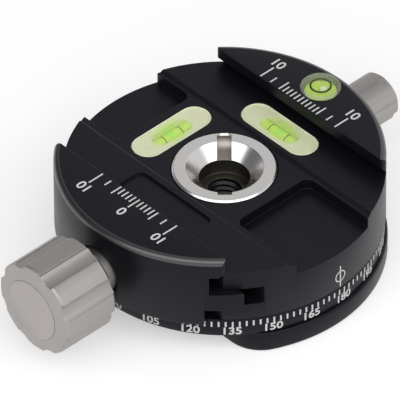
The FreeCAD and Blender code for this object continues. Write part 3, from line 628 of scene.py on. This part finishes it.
# Radius, length, start and height of the bores along X: the clip's pocket and the insert's
# bore, then the lock knob's recess and its sleeve's bore.
BODY_BORES = ((4.3, 23, -40.2, SCREW_HEIGHT), (3.62, 6.2, -17.3, SCREW_HEIGHT),
              (5.6, 10, 28.9, PAN_HEIGHT), (2.82, 12, 18.6, PAN_HEIGHT))
body_cuts += [rod(radius, length, (start, 0, height), "X") for radius, length, start, height in BODY_BORES]
for side in (1, -1):
    body_cuts.append(rod(PIN_BORE, 7, (-16, PIN_PLACE * side, SCREW_HEIGHT), "X", 48))
    body_cuts.append(rod(SPRING_BORE, 12, (-23.9, SPRING_PLACE * side, SPRING_HEIGHT), "X", 48))
body = carve(blank(), body_cuts)


def highlight_rim_faces(shape, centre=0.0):
    """Puts the rounded top rim's faces on the second material, a lighter and glossier black that paints a
    highlight along the rim.
    """
    for face in shape.faces:
        middle = face.calc_center_median() / MM - Vector((centre, 0, 0))
        at_rim = middle.z > JAW_TOP - RIM_ROUND and middle.xy.length > BODY_RADIUS - RIM_BAND
        if at_rim and 0.1 < face.normal.z < 0.995:
            if middle.xy.normalized().dot(face.normal.xy) > 0.1:
                face.material_index = 1


highlight_rim_faces(body)
# A lighter, more reflective copy of the black anodising on the rim's faces: a painted highlight along the
# rounded rim.
rim_highlight_black = metal("black rim painted highlight", (0.012, 0.012, 0.015, 1), WORN_AND_HIGHLIT_BLACK, metallic=0.0,
                     roughness=0.25, spread=0.03, grain=5200.0, depth=0.000002, wear_and_highlight=0.5, specular=1.0)
clamp_disc = finish_piece("clamp_disc", body, black_anodised, "clamp", ["clamp_body"])
clamp_disc.data.materials.append(rim_highlight_black)

# White marks on the fixed jaw: a millimetre scale each side of the middle, with a ten at
# each end, and the index line with its ring on the side, read against the degree disc.
INDEX_ANGLE = -88.0
INDEX_HEIGHT = 11.25
FIVE_END = 3.2
MIDDLE_END = 3.6
TEN_PLACE = 10
TEN_MARK = (0.32, 3.5)
TEN_MIDDLE = 2.35
SCALE_SIZE = 3.0
SCALE_WEIGHT = 0.05


def scale_marks(lip, side, shift, middle_number):
    """The jaw's millimetre scale: side is 1 on the fixed jaw and -1 on the sliding jaw."""
    marks = []
    rows = [(millimetre, 0.6, 2.4) for millimetre in range(-5, 6)]
    rows += [(place, 0.8, 2.5) for place in (-7.5, 7.5)]
    for place, start, end in rows:
        if abs(place) == 5:
            end = FIVE_END
        if place == 0 and middle_number:
            end = MIDDLE_END
        marks.append(lay(stroke(0.3, end - start), lip + side * (start + end) / 2, place + shift, side))
    for place in (-TEN_PLACE, TEN_PLACE):
        marks.append(lay(stroke(*TEN_MARK), lip + side * TEN_MIDDLE, place + shift, side))
        ten = digits("10", SCALE_SIZE, SCALE_WEIGHT)
        marks.append(lay(ten, lip + side * 5.5, place + shift, side))
    if middle_number:
        nought = digits("0", SCALE_SIZE, SCALE_WEIGHT)
        marks.append(lay(nought, lip + side * 5.2, shift, side))
    return joined(*marks)


def lay(shape, x, y, side):
    """Lays a mark flat on a jaw's top, its upright direction away from the channel."""
    turn = Matrix.Rotation(-math.pi / 2 * side, 3, "Z")
    bmesh.ops.rotate(shape, cent=(0, 0, 0), matrix=turn, verts=shape.verts)
    bmesh.ops.translate(shape, vec=(x * MM, y * MM, JAW_TOP * MM), verts=shape.verts)
    return shape


index_ring = spun([(1.05, -INK_RISE), (1.3, -INK_RISE), (1.3, INK_RISE), (1.05, INK_RISE)], 48)
clamp_marks = joined(
    scale_marks(FIXED_LIP - 0.35, 1, 0.54, False),
    wrap(stroke(0.28, 5.0), BODY_RADIUS, INDEX_ANGLE, INDEX_HEIGHT),
    wrap(index_ring, BODY_RADIUS, INDEX_ANGLE, INDEX_HEIGHT + 0.05))
finish_piece("clamp_marks", clamp_marks, marking, "clamp", edge=0)

# Steel spindle: turned bright steel, with a flat flange, a cone that leads a screw in, a
# driver slot across it and a threaded bore. It holds the clamp down on the base's hub.
FLANGE_TOP = 19.75
FLANGE_RADIUS = 9.85
CONE_RADIUS = 7.3
CONE_BOTTOM = 17.3
SHOULDER = 14.25
CONE_SLOPE = (CONE_RADIUS - SOCKET_RADIUS) / (FLANGE_TOP - CONE_BOTTOM)
SPINDLE_RADIUS = 7.2
FLANGE_BOTTOM = 17.25
FLANGE_BREAK = 0.35
KEY_TURN = 47.0
KEY_HALF = 1.32
KEY_START = -7.9
KEY_END = 9.15
KEY_SWEEP = 2.4
RUN_OUT_HALF = 0.85
LINE_DEPTH = 0.05
LINE_PITCH = 0.62
THROUGH_THREAD = 0.45
THROUGH_PITCH = 1.27


def turned_steel(name, colour, smooth, rough):
    """Turned steel: fine tool rings round the axis and faint smears."""
    material, surface, nodes, link = new_material(name, Metallic=1.0)
    rings = node_of(nodes, "ShaderNodeTexWave", wave_type="RINGS", rings_direction="Z")
    place = nodes.new("ShaderNodeTexCoord").outputs["Object"]
    feed(link, rings, Vector=place, Scale=2600.0, Distortion=0.6, Detail=2.0)
    smears = noise(nodes, link, 260.0, 5.0)
    feed(link, surface, Base_Color=mixed(nodes, link, smears, shaded(colour, 0.92), colour),
         Roughness=map_range(nodes, link, smears, (0.3, 0.7), (smooth, rough)))
    relief(nodes, link, surface, rings.outputs["Fac"], 0.0000012)
    return material


bright_steel = turned_steel("turned steel", (0.76, 0.745, 0.735, 1), 0.21, 0.27)
# Darker, browner steel for the driver slot's faces: their milled finish and painted shade in the slot.
milled_slot_shade_steel = turned_steel("milled steel with painted slot shade", (0.4, 0.365, 0.338, 1), 0.4, 0.48)
# Dark steel for the socket's bore wall and its fine lines: painted shade deep in the bore.
bore_shade_steel = turned_steel("dark steel painted as bore shade", (0.12, 0.115, 0.1, 1), 0.34, 0.44)


def key_cutters():
    """The driver slot's cuts: a channel whose floor sweeps up at its ends, and its run-out."""
    channel = block((KEY_START, -KEY_HALF, CONE_BOTTOM - 0.05), (KEY_END, KEY_HALF, JAW_TOP))
    low = CONE_BOTTOM * MM
    ends = [edge for edge in channel.edges if max(vert.co.z for vert in edge.verts) < low
            and abs(edge.verts[0].co.x - edge.verts[1].co.x) < 0.01 * MM]
    bmesh.ops.bevel(channel, geom=ends, offset=KEY_SWEEP * MM, offset_type="OFFSET", segments=14,
                    profile=0.5, affect="EDGES", material=-1)
    slope = ((9.0, FLANGE_TOP - 0.4), (9.5, FLANGE_TOP + 0.05), (9.0, FLANGE_TOP + 0.05))
    run_out = drawn_out([(x, -RUN_OUT_HALF, z) for x, z in slope], (0, 2 * RUN_OUT_HALF, 0))
    for cutter in (channel, run_out):
        bmesh.ops.rotate(cutter, cent=(0, 0, 0), verts=cutter.verts,
                         matrix=Matrix.Rotation(math.radians(KEY_TURN), 3, "Z"))
    return [channel, run_out]


spindle = spun([
    (THROUGH_RADIUS, SHANK_BOTTOM), (SPINDLE_RADIUS, SHANK_BOTTOM),
    (SPINDLE_RADIUS, FLANGE_BOTTOM), (FLANGE_RADIUS, FLANGE_BOTTOM),
    (FLANGE_RADIUS, FLANGE_TOP - FLANGE_BREAK), (FLANGE_RADIUS - FLANGE_BREAK, FLANGE_TOP),
    (CONE_RADIUS, FLANGE_TOP), (SOCKET_RADIUS, CONE_BOTTOM),
    (SOCKET_RADIUS, SHOULDER), (THROUGH_RADIUS, SHOULDER)], 192)
spindle = carve(spindle, key_cutters())
turned = math.radians(KEY_TURN)
# Faces in the driver slot take a darker, browner steel: their milled finish and painted shade in the slot.
for face in spindle.faces:
    middle = face.calc_center_median() / MM
    across = abs(middle.y * math.cos(turned) - middle.x * math.sin(turned))
    in_bore = middle.xy.length < SOCKET_RADIUS + 0.01 and middle.z < CONE_BOTTOM
    on_cone = abs(middle.xy.length - SOCKET_RADIUS - (middle.z - CONE_BOTTOM) * CONE_SLOPE) < 0.03
    in_slot = across < KEY_HALF + 0.04 and middle.xy.length < KEY_END + 0.05
    # The bore's faces take the dark steel, painted shade in the bore.
    if in_bore:
        face.material_index = 2
    elif in_slot and middle.z < FLANGE_TOP - 0.45 and not on_cone:
        face.material_index = 1
spindle = finish_piece("spindle", spindle, bright_steel, "base", ["centre_spindle"],
                       edge=0.08)
spindle.data.materials.append(milled_slot_shade_steel)
spindle.data.materials.append(bore_shade_steel)
# Fine turned lines in the bore, coloured with the painted bore shade.
bore_lines = thread(SOCKET_RADIUS, LINE_DEPTH, LINE_PITCH, SHOULDER + 0.4, CONE_BOTTOM - 0.35)
finish_piece("bore_lines", bore_lines, bore_shade_steel, "base", edge=0)

# Near black for the thread deep in the spindle's bore: painted shade in the bore.
bore_thread_shade_black = metal("near black painted bore thread shade", (0.006, 0.007, 0.011, 1), (0.02, 0.02, 0.03, 1), metallic=0.0,
                   roughness=0.26, spread=0.04, grain=2000.0, depth=0.000002, wear_and_highlight=0.2, specular=0.22)
bore_thread = thread(THROUGH_RADIUS, THROUGH_THREAD, THROUGH_PITCH, SHANK_BOTTOM + 0.6, SHOULDER - 0.55)
finish_piece("bore_thread", bore_thread, bore_thread_shade_black, "base", edge=0)

# Sliding jaw: a segment of the disc, milled from the same blank, which runs in and out on
# its tongue. Its rounded lip grips the plate, and its outer rim carries on the disc's curve.
JAW_SHIFT = -2.3
MOVING_LIP = 20.75
JAW_WALL = 23.7
JAW_LEG = 24.3
TONGUE_END = 18.7
TONGUE_PLAY = 0.06
SEAT_PLAY = 0.1
NOTCH_HALF = 4.5

jaw = blank()
bmesh.ops.translate(jaw, vec=(JAW_SHIFT * MM, 0, 0), verts=jaw.verts)
jaw_cuts = [bar([
    (-MOVING_LIP, JAW_TOP + 1), (-MOVING_LIP, JAW_TOP - LIP_LAND),
    (-MOVING_LIP - UNDERCUT + SEAT_PLAY, SEAT_TOP + SEAT_PLAY), (-JAW_WALL, SEAT_TOP + SEAT_PLAY),
    (-JAW_WALL, SLOT_TOP - TONGUE_PLAY), (-TONGUE_END, SLOT_TOP - TONGUE_PLAY),
    (-TONGUE_END, SLOT_BOTTOM + TONGUE_PLAY), (-JAW_LEG, SLOT_BOTTOM + TONGUE_PLAY),
    (-JAW_LEG, BODY_BOTTOM - 1), (40, BODY_BOTTOM - 1), (40, JAW_TOP + 1)])]
jaw_cuts += tip_cuts(MOVING_LIP + JAW_SHIFT, -1, JAW_SHIFT)
jaw_cuts.append(block((-JAW_WALL, -NOTCH_HALF, SLOT_BOTTOM - 1), (0, NOTCH_HALF, SLOT_TOP + 1)))
jaw_cuts.append(rod(5.0, 10, (-40.7, 0, SCREW_HEIGHT), "X"))
jaw_cuts.append(rod(2.55, 30, (-45, 0, SCREW_HEIGHT), "X"))
for side in (1, -1):
    jaw_cuts.append(rod(PIN_BORE + 0.03, 15, (-28.2, PIN_PLACE * side, SCREW_HEIGHT), "X", 48))
    jaw_cuts.append(rod(SPRING_BORE, 15, (-25.6, SPRING_PLACE * side, SPRING_HEIGHT), "X", 48))
jaw = carve(jaw, jaw_cuts)
# The sliding jaw's rim faces get the same painted highlight.
highlight_rim_faces(jaw, JAW_SHIFT)
sliding_jaw = finish_piece("sliding_jaw", jaw, black_anodised, "jaw", ["moving_jaw"])
sliding_jaw.data.materials.append(rim_highlight_black)
finish_piece("jaw_marks", scale_marks(-MOVING_LIP + 0.3, -1, 0.41, True), marking, "jaw", edge=0)

# Clamp knob: turned aluminium, eight scallops milled along it, bead blasted to a warm grey.
# A flat disc is let into its end, and a plain collar keeps it clear of the jaw.
KNOB_BACK = 36.0
KNOB_LENGTH = 12.6
KNOB_RADIUS = 9.35
CAP_RADIUS = 6.1
CAP_DEPTH = 1.4
CAP_TOP = 1.46
SCREW_BORE = 2.52
COLLAR_RADIUS = 4.55
COLLAR_LENGTH = 5.2
SCALLOP_COUNT = 8
SCALLOP_TURN = -20.8
SCALLOP_RADIUS = 2.8
SCALLOP_REACH = 11.4

blasted = metal("bead blasted aluminium", (0.385, 0.366, 0.357, 1), (0.56, 0.545, 0.53, 1), metallic=1.0,
                roughness=0.46, spread=0.04, grain=4200.0, depth=0.000006, wear_and_highlight=0.4)


def along_x(shape, start, direction, height=SCREW_HEIGHT):
    """Lays a shape made about Z along a knob's axis: direction 1 is +X, -1 is -X."""
    bmesh.ops.rotate(shape, cent=(0, 0, 0), matrix=Matrix.Rotation(math.pi / 2 * direction, 3, "Y"),
                     verts=shape.verts)
    bmesh.ops.translate(shape, vec=(start * MM, 0, height * MM), verts=shape.verts)
    return shape


def scallops(shape, radius, reach, length, start_angle, count):
    """Cuts shallow round scallops along a knob's side."""
    cutters = []
    for step in range(count):
        angle = math.radians(start_angle + step * 360 / count)
        cutters.append(rod(radius, length + 2, (reach * math.cos(angle), reach * math.sin(angle), -1)))
    return carve(shape, cutters)


knob = spun([
    (SCREW_BORE, 0), (KNOB_RADIUS - 0.5, 0), (KNOB_RADIUS, 0.5), (KNOB_RADIUS, KNOB_LENGTH - 0.9),
    (KNOB_RADIUS - 0.3, KNOB_LENGTH - 0.6), (CAP_RADIUS, KNOB_LENGTH),
    (CAP_RADIUS, KNOB_LENGTH - CAP_DEPTH), (SCREW_BORE, KNOB_LENGTH - CAP_DEPTH)])
knob = scallops(knob, SCALLOP_RADIUS, SCALLOP_REACH, KNOB_LENGTH, SCALLOP_TURN, SCALLOP_COUNT)
finish_piece("clamp_knob_grip", along_x(knob, -KNOB_BACK, -1), blasted, "clamp_knob", ["clamp_knob"],
             edge=0.14)

cap = spun([(0, 0), (CAP_RADIUS, 0), (CAP_RADIUS, CAP_DEPTH), (CAP_RADIUS - 0.12, CAP_TOP), (0, CAP_TOP)])
warm_disc = metal("knob end disc", (0.415, 0.388, 0.372, 1), (0.58, 0.56, 0.54, 1), metallic=1.0,
                  roughness=0.42, spread=0.04, grain=4200.0, depth=0.000004, wear_and_highlight=0.3)
finish_piece("clamp_knob_disc", along_x(cap, -KNOB_BACK - KNOB_LENGTH + CAP_DEPTH, -1), warm_disc,
             "clamp_knob", ["knob_cap"], edge=0)
collar = spun([(SCREW_BORE, 0), (COLLAR_RADIUS, 0), (COLLAR_RADIUS, COLLAR_LENGTH),
               (SCREW_BORE, COLLAR_LENGTH)])
finish_piece("clamp_knob_collar", along_x(collar, -KNOB_BACK, 1), blasted, "clamp_knob", ["knob_collar"],
             edge=0.15)

# Pan lock knob: a smaller scalloped knob of the same blasted aluminium, which presses a
# soft pad on the base's hub so that the clamp stops turning.
PAN_BACK = 29.9
PAN_LENGTH = 10.8
PAN_RADIUS = 4.8
PAN_BREAK = 0.6
PAN_BORE = 1.72
PAN_CAP_RADIUS = 3.0
PAN_CAP_DEPTH = 0.8

pan_knob = spun([
    (PAN_BORE, 0), (PAN_RADIUS - PAN_BREAK, 0), (PAN_RADIUS, PAN_BREAK),
    (PAN_RADIUS, PAN_LENGTH - PAN_BREAK), (PAN_RADIUS - PAN_BREAK, PAN_LENGTH),
    (PAN_CAP_RADIUS + 0.02, PAN_LENGTH), (PAN_CAP_RADIUS + 0.02, PAN_LENGTH - PAN_CAP_DEPTH),
    (PAN_BORE, PAN_LENGTH - PAN_CAP_DEPTH)], 192)
pan_knob = scallops(pan_knob, 2.6, 6.9, PAN_LENGTH, 0, 6)
finish_piece("pan_lock_grip", along_x(pan_knob, PAN_BACK, 1, PAN_HEIGHT), blasted, "pan_knob", ["pan_knob"],
             edge=0.12)
pan_cap = spun([(0, 0), (PAN_CAP_RADIUS, 0), (PAN_CAP_RADIUS, PAN_CAP_DEPTH), (0, PAN_CAP_DEPTH)], 96)
pan_cap = along_x(pan_cap, PAN_BACK + PAN_LENGTH - PAN_CAP_DEPTH, 1, PAN_HEIGHT)
finish_piece("pan_lock_disc", pan_cap, warm_disc, "pan_knob", ["pan_cap"], edge=0.1)

# Tube levels: a frosted yellow green case let into the clamp. A tube of lime liquid with two
# dark lines and a bubble lies in its groove, under a film of clear potting.
TUBE_RADIUS = 1.38
TUBE_LENGTH = 12.4
TUBE_DEPTH = 1.75
WINDOW_HALF = 4.3
WINDOW_SIDE = 1.6
POTTING_RADIUS = 2.85
POTTING_DEPTH = 0.3
LINE_PLACE = 2.1
LINE_HALF = 0.14
LINE_RISE = 0.02
HEART_LONG = 5.6
HEART_SHORT = 3.2
HEART_DEEP = 9
PALE = (0.80, 0.82, 0.60, 1)
LIME = (0.60, 0.90, 0.07, 1)
# Lime painted into the case and the potting over the tube: a painted glow of the liquid showing through
# them.
LIQUID_GLOW = (0.64, 0.86, 0.22, 1)


def level_plastic(name, pale, tinted, roughness, alpha=1.0, heart=None):
    """Moulded, liquid or potted plastic of the levels: two mixed tones, soft and glossy.
    The heart, a centre and a reach in millimetres, takes on the colour of the liquid, a painted glow of the
    lime liquid showing through the plastic."""
    material, surface, nodes, link = new_material(name, IOR=1.47, Roughness=roughness, Alpha=alpha)
    pits, clouds = grained(nodes, link, 1800.0, 420.0)
    tone = mixed(nodes, link, map_range(nodes, link, clouds, (0.35, 0.65)), pale, tinted)
    if heart:
        nearby = node_of(nodes, "ShaderNodeMapping", vector_type="TEXTURE")
        feed(link, nearby, Vector=nodes.new("ShaderNodeTexCoord").outputs["Object"],
             Location=[value * MM for value in heart[0]], Scale=[value * MM for value in heart[1]])
        away = node_of(nodes, "ShaderNodeVectorMath", operation="LENGTH")
        link(nearby.outputs["Vector"], away.inputs[0])
        fading = map_range(nodes, link, away.outputs["Value"], (0.45, 1.0), (0.92, 0.0), "SMOOTHSTEP")
        # Towards the heart the plastic turns lime: a painted glow of the liquid seen through it.
        tone = mixed(nodes, link, fading, tone, LIQUID_GLOW)
    feed(link, surface, Base_Color=tone)
    relief(nodes, link, surface, pits, 0.000003)
    return material


lime_liquid = level_plastic("lime level liquid", LIME, (0.74, 0.94, 0.16, 1), 0.15)
bubble_green = level_plastic("bubble", (0.36, 0.95, 0.08, 1), (0.5, 0.98, 0.16, 1), 0.08)
line_black = level_plastic("level lines", (0.03, 0.05, 0.01, 1), (0.02, 0.03, 0.01, 1), 0.3)


def bubble_of(radius, stretch, place):
    """A level's bubble: a ball drawn out or flattened, at its place in millimetres."""
    shape = bmesh.new()
    bmesh.ops.create_uvsphere(shape, u_segments=32, v_segments=16, radius=radius * MM)
    bmesh.ops.scale(shape, vec=stretch, verts=shape.verts)
    bmesh.ops.translate(shape, vec=[value * MM for value in place], verts=shape.verts)
    return shape


def tube_level(name, place, top, lying_x, bubble_shift):
    """One tube level with its case, tube, lines and bubble, at its place in the clamp."""
    turn = Matrix.Identity(3) if lying_x else Matrix.Rotation(math.pi / 2, 3, "Z")
    reach = (HEART_LONG, HEART_SHORT) if lying_x else (HEART_SHORT, HEART_LONG)
    heart = ((place[0], place[1], top), (*reach, HEART_DEEP))
    frosted = level_plastic(name + " frosted plastic", PALE, (0.72, 0.75, 0.52, 1), 0.38, 1.0, heart)
    potting = level_plastic(name + " potting", PALE, (0.84, 0.86, 0.66, 1), 0.12, 0.22, heart)

    def settle(shape):
        bmesh.ops.rotate(shape, cent=(0, 0, 0), matrix=turn, verts=shape.verts)
        bmesh.ops.translate(shape, vec=Vector((place[0], place[1], top)) * MM, verts=shape.verts)
        return shape

    window = block((-WINDOW_HALF, -WINDOW_SIDE, -1.0), (WINDOW_HALF, WINDOW_SIDE, 1))
    groove = rod(TUBE_RADIUS + 0.03, TUBE_LENGTH + 0.2, (-TUBE_LENGTH / 2 - 0.1, 0, -TUBE_DEPTH), "X", 64)
    case = carve(stadium(LEVEL_HALF, LEVEL_RADIUS, -LEVEL_DEPTH, 0, (0, 0)),
                 [stadium(LEVEL_HALF, POTTING_RADIUS, -POTTING_DEPTH, 1, (0, 0)),
                  round_corners(window, 1.2, lambda middle: True), groove])
    finish_piece(name + "_case", settle(case), frosted, "clamp",
                 [name + "_block", name + "_plug"], edge=0.08)
    tube = rod(TUBE_RADIUS, TUBE_LENGTH, (-TUBE_LENGTH / 2, 0, -TUBE_DEPTH), "X")
    finish_piece(name + "_tube", settle(tube), lime_liquid, "clamp", [name + "_liquid"],
                 edge=0.3)
    low, high = TUBE_RADIUS - LINE_RISE, TUBE_RADIUS + LINE_RISE
    band = [(low, -LINE_HALF), (high, -LINE_HALF), (high, LINE_HALF), (low, LINE_HALF)]
    lines = [along_x(spun(band, 64), line_x, 1, -TUBE_DEPTH) for line_x in (-LINE_PLACE, LINE_PLACE)]
    finish_piece(name + "_lines", settle(joined(*lines)), line_black, "clamp", edge=0)
    bubble = bubble_of(1.0, (1.6, 0.9, 0.5), (bubble_shift, 0, 0.95 - TUBE_DEPTH))
    finish_piece(name + "_bubble", settle(bubble), bubble_green, "clamp", edge=0, sharp=180)
    film = stadium(LEVEL_HALF, POTTING_RADIUS - 0.01, 0.1 - POTTING_DEPTH, -0.05, (0, 0))
    finish_piece(name + "_potting", settle(film), potting, "clamp", edge=0.05)


tube_level("vial_x", LEVEL_X_PLACE, FLOOR_TOP, True, -0.4)
tube_level("vial_y", LEVEL_Y_PLACE, SEAT_TOP, False, -0.3)

# Round level: a cup of milky clear plastic let into the fixed jaw, with lime liquid inside,
# a domed lens on it, a dark ring printed on the dome and the round bubble.
CUP_RADIUS = 3.85
CUP_BORE = 3.05
CUP_BOTTOM = 20.6
CUP_FLOOR = 21.4
CUP_TOP = 24.28
LIQUID_RADIUS = 3.02
LIQUID_TOP = 22.9
LENS_RADIUS = 3.04
LENS_BOTTOM = 23.9
milky = level_plastic("milky level cup", (0.62, 0.64, 0.52, 1), (0.52, 0.55, 0.42, 1), 0.2, 0.3)


def round_piece(outline):
    """A turned piece of the round level, at the level's place."""
    shape = spun(outline, 96)
    bmesh.ops.translate(shape, vec=(BULL_PLACE * MM, LEVEL_SHIFT * MM, 0), verts=shape.verts)
    return shape


finish_piece("round_level_cup", round_piece([
    (0, CUP_BOTTOM), (CUP_RADIUS, CUP_BOTTOM), (CUP_RADIUS, CUP_TOP - 0.16),
    (CUP_RADIUS - 0.17, CUP_TOP), (CUP_BORE + 0.07, CUP_TOP), (CUP_BORE, CUP_TOP - 0.18),
    (CUP_BORE, CUP_FLOOR), (0, CUP_FLOOR)]), milky, "clamp", ["bull_cup"], edge=0)
finish_piece("round_level_liquid", round_piece([
    (0, CUP_FLOOR), (LIQUID_RADIUS, CUP_FLOOR), (LIQUID_RADIUS, LIQUID_TOP), (0, LIQUID_TOP)]),
             lime_liquid, "clamp", ["bull_liquid"], edge=0)
finish_piece("round_level_ring", round_piece([
    (1.74, 24.28), (2.1, 24.24), (2.1, 24.33), (1.74, 24.37)]), line_black, "clamp", edge=0)
bubble = bubble_of(0.85, (1, 1, 0.4), (BULL_PLACE + 0.5, LEVEL_SHIFT - 0.4, 23.4))
bubble_clear = level_plastic("round bubble", (0.8, 0.95, 0.45, 1), (0.85, 0.97, 0.55, 1), 0.06)
finish_piece("round_level_bubble", bubble, bubble_clear, "clamp", edge=0, sharp=180)


def clear_lens():
    """The polished dome over the round level."""
    return new_material("clear lens", Base_Color=(0.5, 0.66, 0.3, 1), Alpha=0.1, Roughness=0.04, IOR=1.5)[0]


finish_piece("round_level_lens", round_piece([
    (0, LENS_BOTTOM), (LENS_RADIUS, LENS_BOTTOM), (LENS_RADIUS, 24.1), (2.4, 24.22),
    (1.3, 24.34), (0, 24.38)]),
    clear_lens(), "clamp", ["bull_lens"], edge=0, sharp=60)

# Small parts inside: screws, pins, springs, washers and the lock's pad keep their shapes
# and get the finish of the real ones.
black_steel = metal("black oxide steel", (0.02, 0.02, 0.02, 1), (0.12, 0.12, 0.12, 1), metallic=1.0,
                    roughness=0.35, spread=0.05, grain=3000.0, depth=0.000002, wear_and_highlight=0.5)
white_plastic = metal("washer plastic", (0.75, 0.74, 0.7, 1), (0.7, 0.7, 0.68, 1), metallic=0.0,
                      roughness=0.45, spread=0.05, grain=2500.0, depth=0.000003, wear_and_highlight=0.2)
turned_brass = metal("turned brass", (0.62, 0.42, 0.14, 1), (0.8, 0.62, 0.3, 1), metallic=1.0,
                     roughness=0.3, spread=0.05, grain=2500.0, depth=0.000002, wear_and_highlight=0.4)
black_plastic = metal("black pad plastic", (0.012, 0.012, 0.012, 1), (0.04, 0.04, 0.04, 1), metallic=0.0,
                      roughness=0.5, spread=0.05, grain=2500.0, depth=0.000004, wear_and_highlight=0.3)
INNER_FINISHES = {
    "base_screws": black_steel, "hub_washer": white_plastic, "spindle_washer": white_plastic,
    "screw_insert": bright_steel, "guide_pins": bright_steel, "jaw_springs": bright_steel,
    "clamp_screw": bright_steel, "screw_clip": bright_steel, "pan_screw": bright_steel,
    "pan_sleeve": turned_brass, "brake_pad": black_plastic}
for node, finish in INNER_FINISHES.items():
    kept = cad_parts[node]
    kept.data.materials.clear()
    kept.data.materials.append(finish)

# Floor, light and camera: a pale floor, a sky dimmed on one side, one soft panel above, and
# the photograph's own view.
LOOK_AT = Vector((-3.092, 3.388, 11.25)) * MM
AZIMUTH = -43.026
ELEVATION = 41.17
ROLL = -0.337
DISTANCE = 2.1111
FOCAL = 11363.7
PICTURE = 400.0
SENSOR = 36.0
FLOOR_HALF = 3.0
FLOOR_DROP = 0.00002
FLOOR_GLOW = 0.45
HORIZON = 1.05
ZENITH = 0.5
DIM_SIDE = (-0.32, 0.87, 0.38)
SOFTBOX_ELEVATION = 50.0
SOFTBOX_DISTANCE = 0.4
SOFTBOX_SIZE = (1.0, 0.32)
SOFTBOX_RADIANCE = 1.6


def pale_floor():
    """White to the camera and to reflections, with the object's soft shadow kept."""
    material, surface, nodes, link = new_material(
        "floor", Base_Color=(0.62, 0.62, 0.62, 1), Roughness=1.0, Specular_IOR_Level=0.0,
        Emission_Color=(1, 1, 1, 1))
    seen = nodes.new("ShaderNodeLightPath").outputs
    either = worked_out(nodes, link, "MAXIMUM", seen["Is Camera Ray"], seen["Is Glossy Ray"])
    any_of = worked_out(nodes, link, "MAXIMUM", either, seen["Is Transmission Ray"])
    link(worked_out(nodes, link, "MULTIPLY", any_of, FLOOR_GLOW), surface.inputs["Emission Strength"])
    return material


floor_shape = bmesh.new()
bmesh.ops.create_grid(floor_shape, x_segments=1, y_segments=1, size=FLOOR_HALF)
bmesh.ops.translate(floor_shape, vec=(0, 0, -FLOOR_DROP), verts=floor_shape.verts)
floor = as_object(floor_shape, "floor")
floor.data.materials.append(pale_floor())

world = bpy.data.worlds.new("studio")
bpy.context.scene.world = world
world.use_nodes = True
wnodes, wlink = world.node_tree.nodes, world.node_tree.links.new
way = wnodes.new("ShaderNodeTexCoord").outputs["Generated"]
parts = wnodes.new("ShaderNodeSeparateXYZ")
wlink(way, parts.inputs["Vector"])
sweep = map_range(wnodes, wlink, parts.outputs["Z"], (0.0, 1.0), (HORIZON, ZENITH))
toward = agreement(wnodes, wlink, way, DIM_SIDE)
dimming = map_range(wnodes, wlink, toward, (0.55, 0.9), (0.0, 0.8), "SMOOTHSTEP")
risen = map_range(wnodes, wlink, parts.outputs["Z"], (0.05, 0.25), (0.0, 1.0), "SMOOTHSTEP")
dimmed = worked_out(wnodes, wlink, "MULTIPLY", dimming, risen)
left_over = worked_out(wnodes, wlink, "SUBTRACT", 1.0, dimmed)
feed(wlink, wnodes["Background"], Color=(1, 1, 1, 1),
     Strength=worked_out(wnodes, wlink, "MULTIPLY", sweep, left_over))


def outward(azimuth, elevation):
    """The direction out from the object at an azimuth and an elevation in degrees."""
    turn, rise = math.radians(azimuth), math.radians(elevation)
    return Vector((math.sin(turn) * math.cos(rise), -math.cos(turn) * math.cos(rise), math.sin(rise)))


def panel(name, out, distance, size, radiance):
    """A soft rectangular light out along a direction, its distance in metres, facing back."""
    data = bpy.data.lights.new(name, "AREA")
    data.shape = "RECTANGLE"
    data.size, data.size_y = size
    data.energy = radiance * math.pi * size[0] * size[1]
    lamp = bpy.data.objects.new(name, data)
    bpy.context.scene.collection.objects.link(lamp)
    lamp.location = LOOK_AT + out * distance
    lamp.rotation_mode = "QUATERNION"
    lamp.rotation_quaternion = out.to_track_quat("Z", "Y")


panel("front softbox", outward(AZIMUTH, SOFTBOX_ELEVATION), SOFTBOX_DISTANCE, SOFTBOX_SIZE,
      SOFTBOX_RADIANCE)

back = outward(AZIMUTH, ELEVATION)
lens_data = bpy.data.cameras.new("camera")
lens_data.sensor_width = SENSOR
lens_data.lens = FOCAL / PICTURE * SENSOR
lens_data.clip_start = 0.1
lens_data.clip_end = 20.0
camera = bpy.data.objects.new("camera", lens_data)
bpy.context.scene.collection.objects.link(camera)
camera.location = LOOK_AT + back * DISTANCE
camera.rotation_mode = "QUATERNION"
camera.rotation_quaternion = ((-back).to_track_quat("-Z", "Y")
                              @ Quaternion((0, 0, 1), math.radians(ROLL)))
bpy.context.scene.camera = camera
bpy.context.scene.view_settings.view_transform = "Standard"
